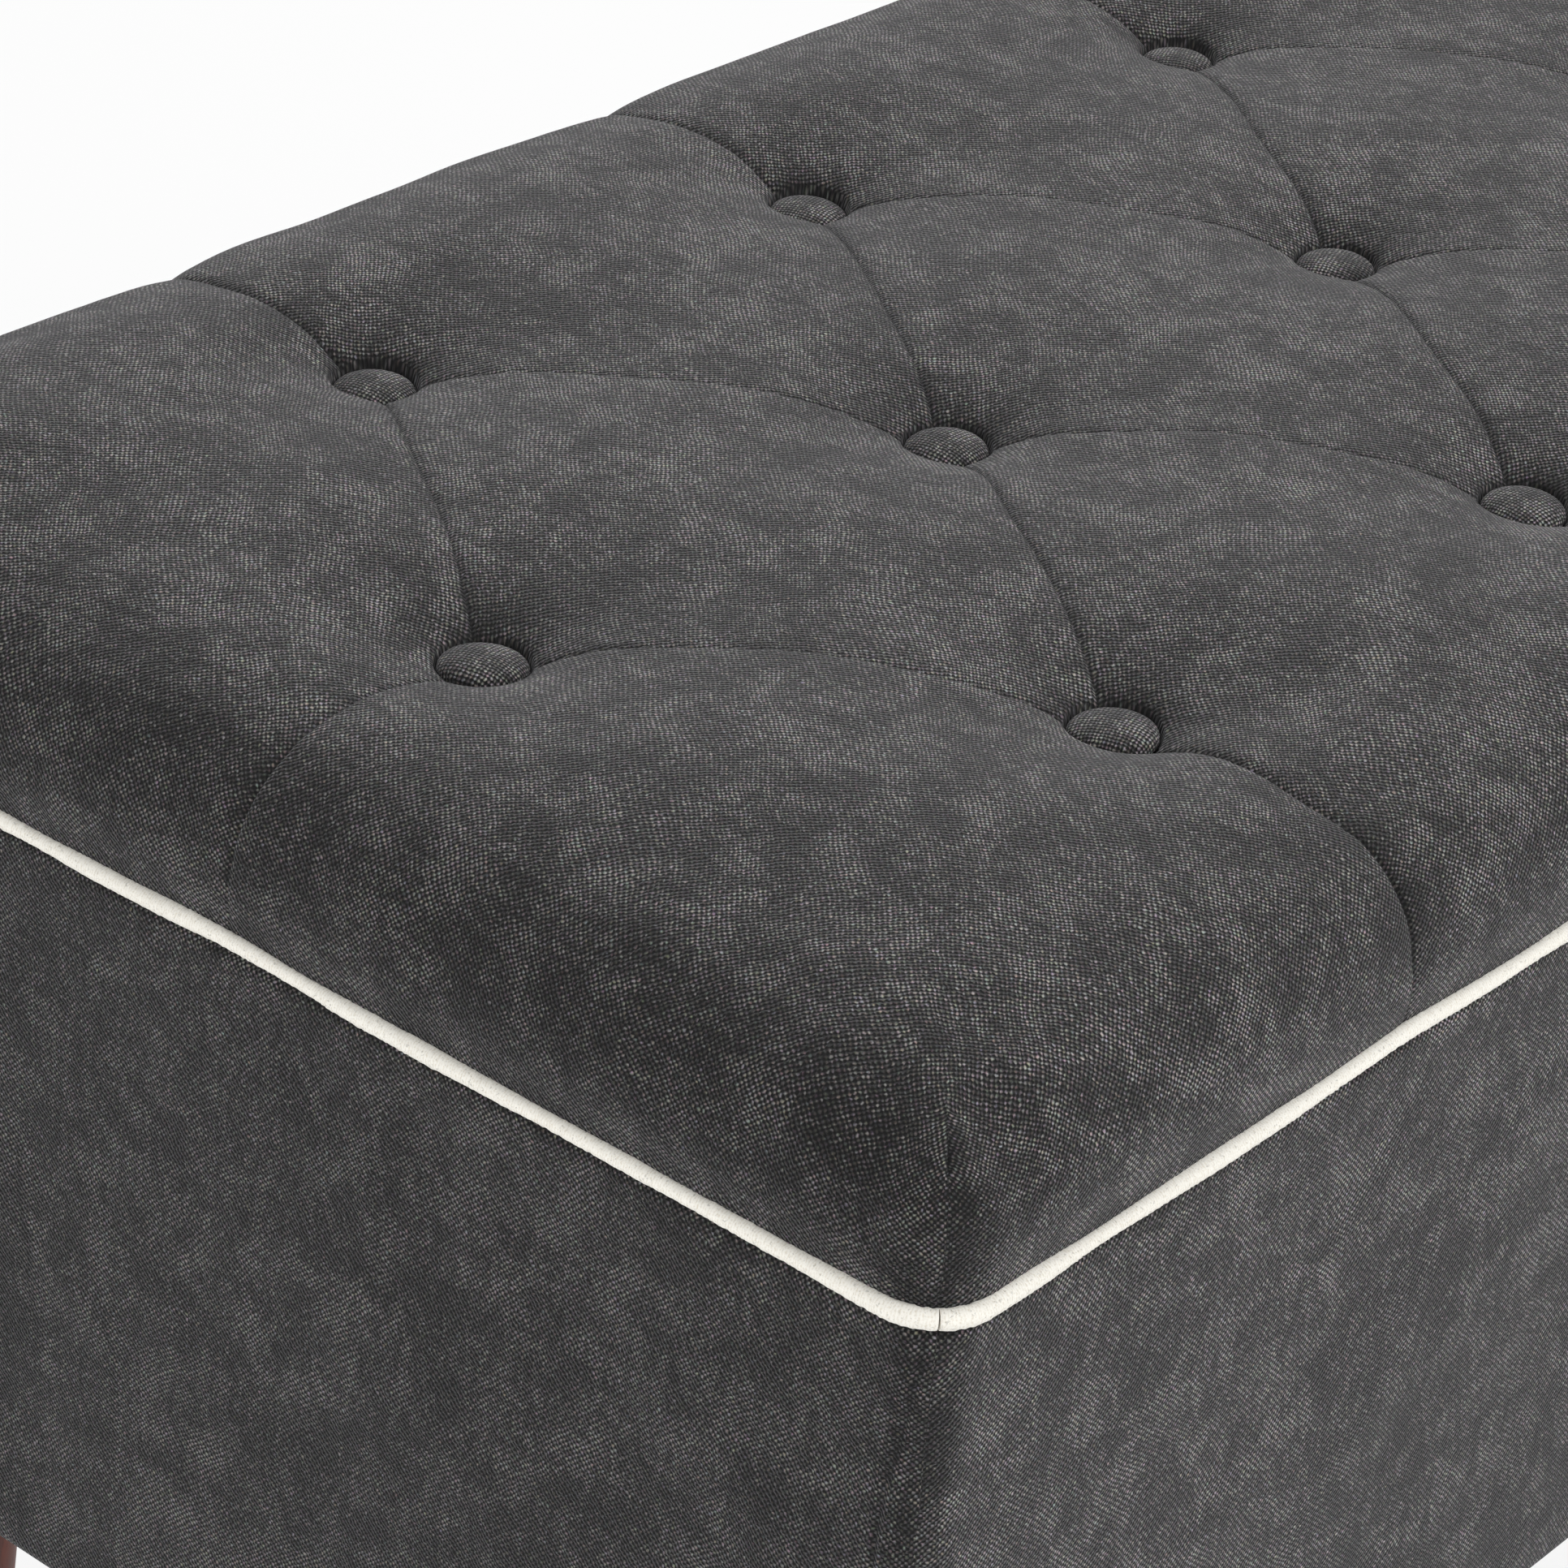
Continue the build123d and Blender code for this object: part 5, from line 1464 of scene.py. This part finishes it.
class BENCH_OT_linings(bpy.types.Operator):
    """Make the lid and box linings and the dust cover"""

    bl_idname = "bench.linings"
    bl_label = "Linings"

    def execute(self, context):
        for node, body, rest, finish_name, slot, bow, seed in (
            ("floor_liner", "box", ["bottom_panel"], "lining", "black_lining", 0.25, 41),
            ("lid_lining", "lid", ["lid_board"], "lining", "black_lining", 0.2, 42),
            ("dust_cover", "box", ["leg_blocks", "centre_rail"], "dust_cloth", "dust_cover_cloth", 0.25, 43),
        ):
            low, high = node_box(node)
            mesh = slab(node + "_cloth", low, high, bow, seed)
            piece = add_piece(node + "_cloth", mesh, finish_name, body, (node,), slot)
            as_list(rest)
        low, high = node_box("box_lining")
        mesh = self.walls(low, high)
        piece = add_piece("box_lining_cloth", mesh, "lining", "box", ("box_lining",), "black_lining")
        return {"FINISHED"}

    def walls(self, low, high):
        """Four thin panels that line the box's inside, in one mesh."""
        thick = 1.0
        joined = bmesh.new()
        for axis, at_low in ((0, True), (0, False), (1, True), (1, False)):
            a, b = low.copy(), high.copy()
            if at_low:
                b[axis] = a[axis] + thick
            else:
                a[axis] = b[axis] - thick
            if axis == 1:
                a[0], b[0] = a[0] + thick, b[0] - thick
            panel = slab("lining wall", a, b)
            joined.from_mesh(panel)
            bpy.data.meshes.remove(panel)
        mesh = bpy.data.meshes.new("box_lining_cloth")
        joined.to_mesh(mesh)
        joined.free()
        return mesh


class BENCH_OT_finishes(bpy.types.Operator):
    """Give the frame, legs and fittings their finishes"""

    bl_idname = "bench.finishes"
    bl_label = "Frame Finishes"

    GROUPS = {
        "legs": "front_left_leg rear_left_leg front_right_leg rear_right_leg",
        "length_wood": "front_panel back_panel bottom_cleats",
        "width_wood": "left_end_panel right_end_panel leg_blocks centre_rail",
        "plywood": "bottom_panel lid_board",
        "dark_steel": "panel_screws cleat_screws bottom_panel_screws leg_plate_screws hinge_box_screws "
        "hinge_lid_screws stay_box_screws stay_lid_screws",
        "steel": "leg_bolts leg_plates hinge_box_leaves hinge_lid_leaves hinge_pins stay_box_brackets "
        "stay_lid_brackets stay_box_rivets stay_lid_rivets left_stay_lower_arm right_stay_lower_arm "
        "left_stay_upper_arm right_stay_upper_arm left_knee_rivet right_knee_rivet tie_washers",
        "glide": "foot_glides button_shells",
        "rubber": "lid_bumpers",
        "twine": "button_ties",
        "foam": "lid_foam box_padding",
        "fabric": "lid_cover box_cover button_covers",
        "piping": "lid_piping",
        "lining": "box_lining floor_liner lid_lining",
        "dust_cloth": "dust_cover",
    }

    def execute(self, context):
        finishes = {name: key for key, names in self.GROUPS.items() for name in names.split()}
        missing = sorted(set(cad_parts) - set(finishes))
        if missing:
            raise RuntimeError(f"no finish for {missing}")
        for name, key in finishes.items():
            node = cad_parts[name]
            node.data.materials.clear()
            node.data.materials.append(finish(key))
        return {"FINISHED"}


class BENCH_OT_stage(bpy.types.Operator):
    """Make the studio floor, lamps and camera"""

    bl_idname = "bench.stage"
    bl_label = "Studio"

    # Camera angles in degrees and its place, fitted to the photograph's view
    YAW, PITCH, ROLL = 38.12, -29.66, 4.81
    PLACE = (-1.29292, -0.75722, 1.03441)
    FLOOR_RADIUS = 9.0
    FLOOR_GLOW = 0.86
    WHITE = (1.0, 1.0, 1.0, 1.0)

    def execute(self, context):
        stage = context.scene.bench_stage
        self.floor(stage)
        self.sky(context, stage)
        for name, watts, size, place, target in (
            ("Key", stage.key_power, 1.6, (0.9, -2.3, 1.9), (-0.2, 0.0, 0.3)),
            ("Fill", stage.fill_power, 1.8, (-2.6, -0.4, 1.3), (-0.3, 0.0, 0.25)),
            ("Top", stage.top_power, 2.0, (1.0, 0.9, 2.4), (0.1, 0.0, 0.4)),
        ):
            lamp = bpy.data.lights.new(name, "AREA")
            lamp.energy, lamp.size = watts, size
            holder = place_object(name, lamp)
            holder.location = place
            aim = Vector(target) - Vector(place)
            holder.rotation_mode = "QUATERNION"
            holder.rotation_quaternion = aim.to_track_quat("-Z", "Y")
        self.camera(context, stage)
        context.scene.view_settings.view_transform = "Standard"
        return {"FINISHED"}

    def seen_directly(self, n):
        """One for camera, glossy and transmission rays."""
        path = n.node("ShaderNodeLightPath").outputs
        first = n.math("MAXIMUM", path["Is Camera Ray"], path["Is Glossy Ray"])
        return n.math("MAXIMUM", first, path["Is Transmission Ray"])

    def sky(self, context, stage):
        """Even light all round, and plain white where it is seen."""
        world = bpy.data.worlds.new("Studio")
        context.scene.world = world
        world.use_nodes = True
        n = Nodes(world.node_tree)
        n.tree.nodes.clear()
        light = n.node("ShaderNodeBackground", {"Color": self.WHITE, "Strength": stage.sky_strength})
        seen = n.node("ShaderNodeBackground", {"Color": self.WHITE, "Strength": 1.0})
        values = {0: self.seen_directly(n), 1: light.outputs[0], 2: seen.outputs[0]}
        mix = n.node("ShaderNodeMixShader", values)
        n.node("ShaderNodeOutputWorld", {0: mix.outputs[0]})

    def floor(self, stage):
        """A pale floor that stays near white to the camera and keeps the bench's shadow."""
        turns = [2 * math.pi * k / stage.segments for k in range(stage.segments)]
        rim = [(self.FLOOR_RADIUS * math.cos(a), self.FLOOR_RADIUS * math.sin(a), 0.0) for a in turns]
        mesh = bpy.data.meshes.new("studio_floor")
        mesh.from_pydata(rim, [], [list(range(stage.segments))])
        material = bpy.data.materials.new("Studio floor")
        material.use_nodes = True
        n = Nodes(material.node_tree)
        n.tree.nodes.clear()
        paint = n.node("ShaderNodeBsdfDiffuse", {"Color": (*stage.floor_colour, 1.0)})
        glow = n.node("ShaderNodeEmission", {"Strength": 1.0})
        most = n.math("MULTIPLY", self.seen_directly(n), self.FLOOR_GLOW)
        mix = n.node("ShaderNodeMixShader", {0: most, 1: paint.outputs[0], 2: glow.outputs[0]})
        n.node("ShaderNodeOutputMaterial", {0: mix.outputs[0]})
        mesh.materials.append(material)
        place_object("studio_floor", mesh)

    def camera(self, context, stage):
        """Camera at the photograph's angle, low over the near left corner."""
        yaw, pitch, roll = (math.radians(a) for a in (self.YAW, self.PITCH, self.ROLL))
        level = math.cos(pitch)
        forward = Vector((math.cos(yaw) * level, math.sin(yaw) * level, math.sin(pitch)))
        right = forward.cross(Vector((0, 0, 1))).normalized()
        up = right.cross(forward)
        turned_right = math.cos(roll) * right + math.sin(roll) * up
        turned_up = -math.sin(roll) * right + math.cos(roll) * up
        data = bpy.data.cameras.new("Camera")
        data.lens, data.sensor_width = stage.lens, 36.0
        data.clip_start, data.clip_end = 0.05, 40.0
        holder = place_object("Camera", data)
        rotation = Matrix((turned_right, turned_up, -forward)).transposed().to_4x4()
        holder.matrix_world = Matrix.Translation(Vector(self.PLACE)) @ rotation
        context.scene.camera = holder


OPERATORS = (
    BENCH_OT_stage,
    BENCH_OT_finishes,
    BENCH_OT_lid_cover,
    BENCH_OT_buttons,
    BENCH_OT_piping,
    BENCH_OT_box_cover,
    BENCH_OT_linings,
)


class BENCH_PT_sidebar(bpy.types.Panel):
    """Bench tools in the sidebar"""

    bl_label = "Tufted Storage Bench"
    bl_idname = "BENCH_PT_sidebar"
    bl_space_type = "VIEW_3D"
    bl_region_type = "UI"
    bl_category = "Bench"

    def draw(self, context):
        layout = self.layout
        for operator in OPERATORS:
            layout.operator(operator.bl_idname)
        for group in (context.scene.bench_sizes, context.scene.bench_finishes, context.scene.bench_stage):
            box = layout.box()
            for name in group.__annotations__:
                box.prop(group, name)


CLASSES = (BenchSizes, BenchFinishes, BenchStage, *OPERATORS, BENCH_PT_sidebar)


def register():
    for cls in CLASSES:
        bpy.utils.register_class(cls)
    bpy.types.Scene.bench_sizes = PointerProperty(type=BenchSizes)
    bpy.types.Scene.bench_finishes = PointerProperty(type=BenchFinishes)
    bpy.types.Scene.bench_stage = PointerProperty(type=BenchStage)


def unregister():
    del bpy.types.Scene.bench_sizes, bpy.types.Scene.bench_finishes, bpy.types.Scene.bench_stage
    for cls in reversed(CLASSES):
        bpy.utils.unregister_class(cls)


def main():
    """Build the whole bench with its operators."""
    register()
    for operator in OPERATORS:
        group, name = operator.bl_idname.split(".")
        getattr(getattr(bpy.ops, group), name)()


if __name__ == "__main__":
    main()
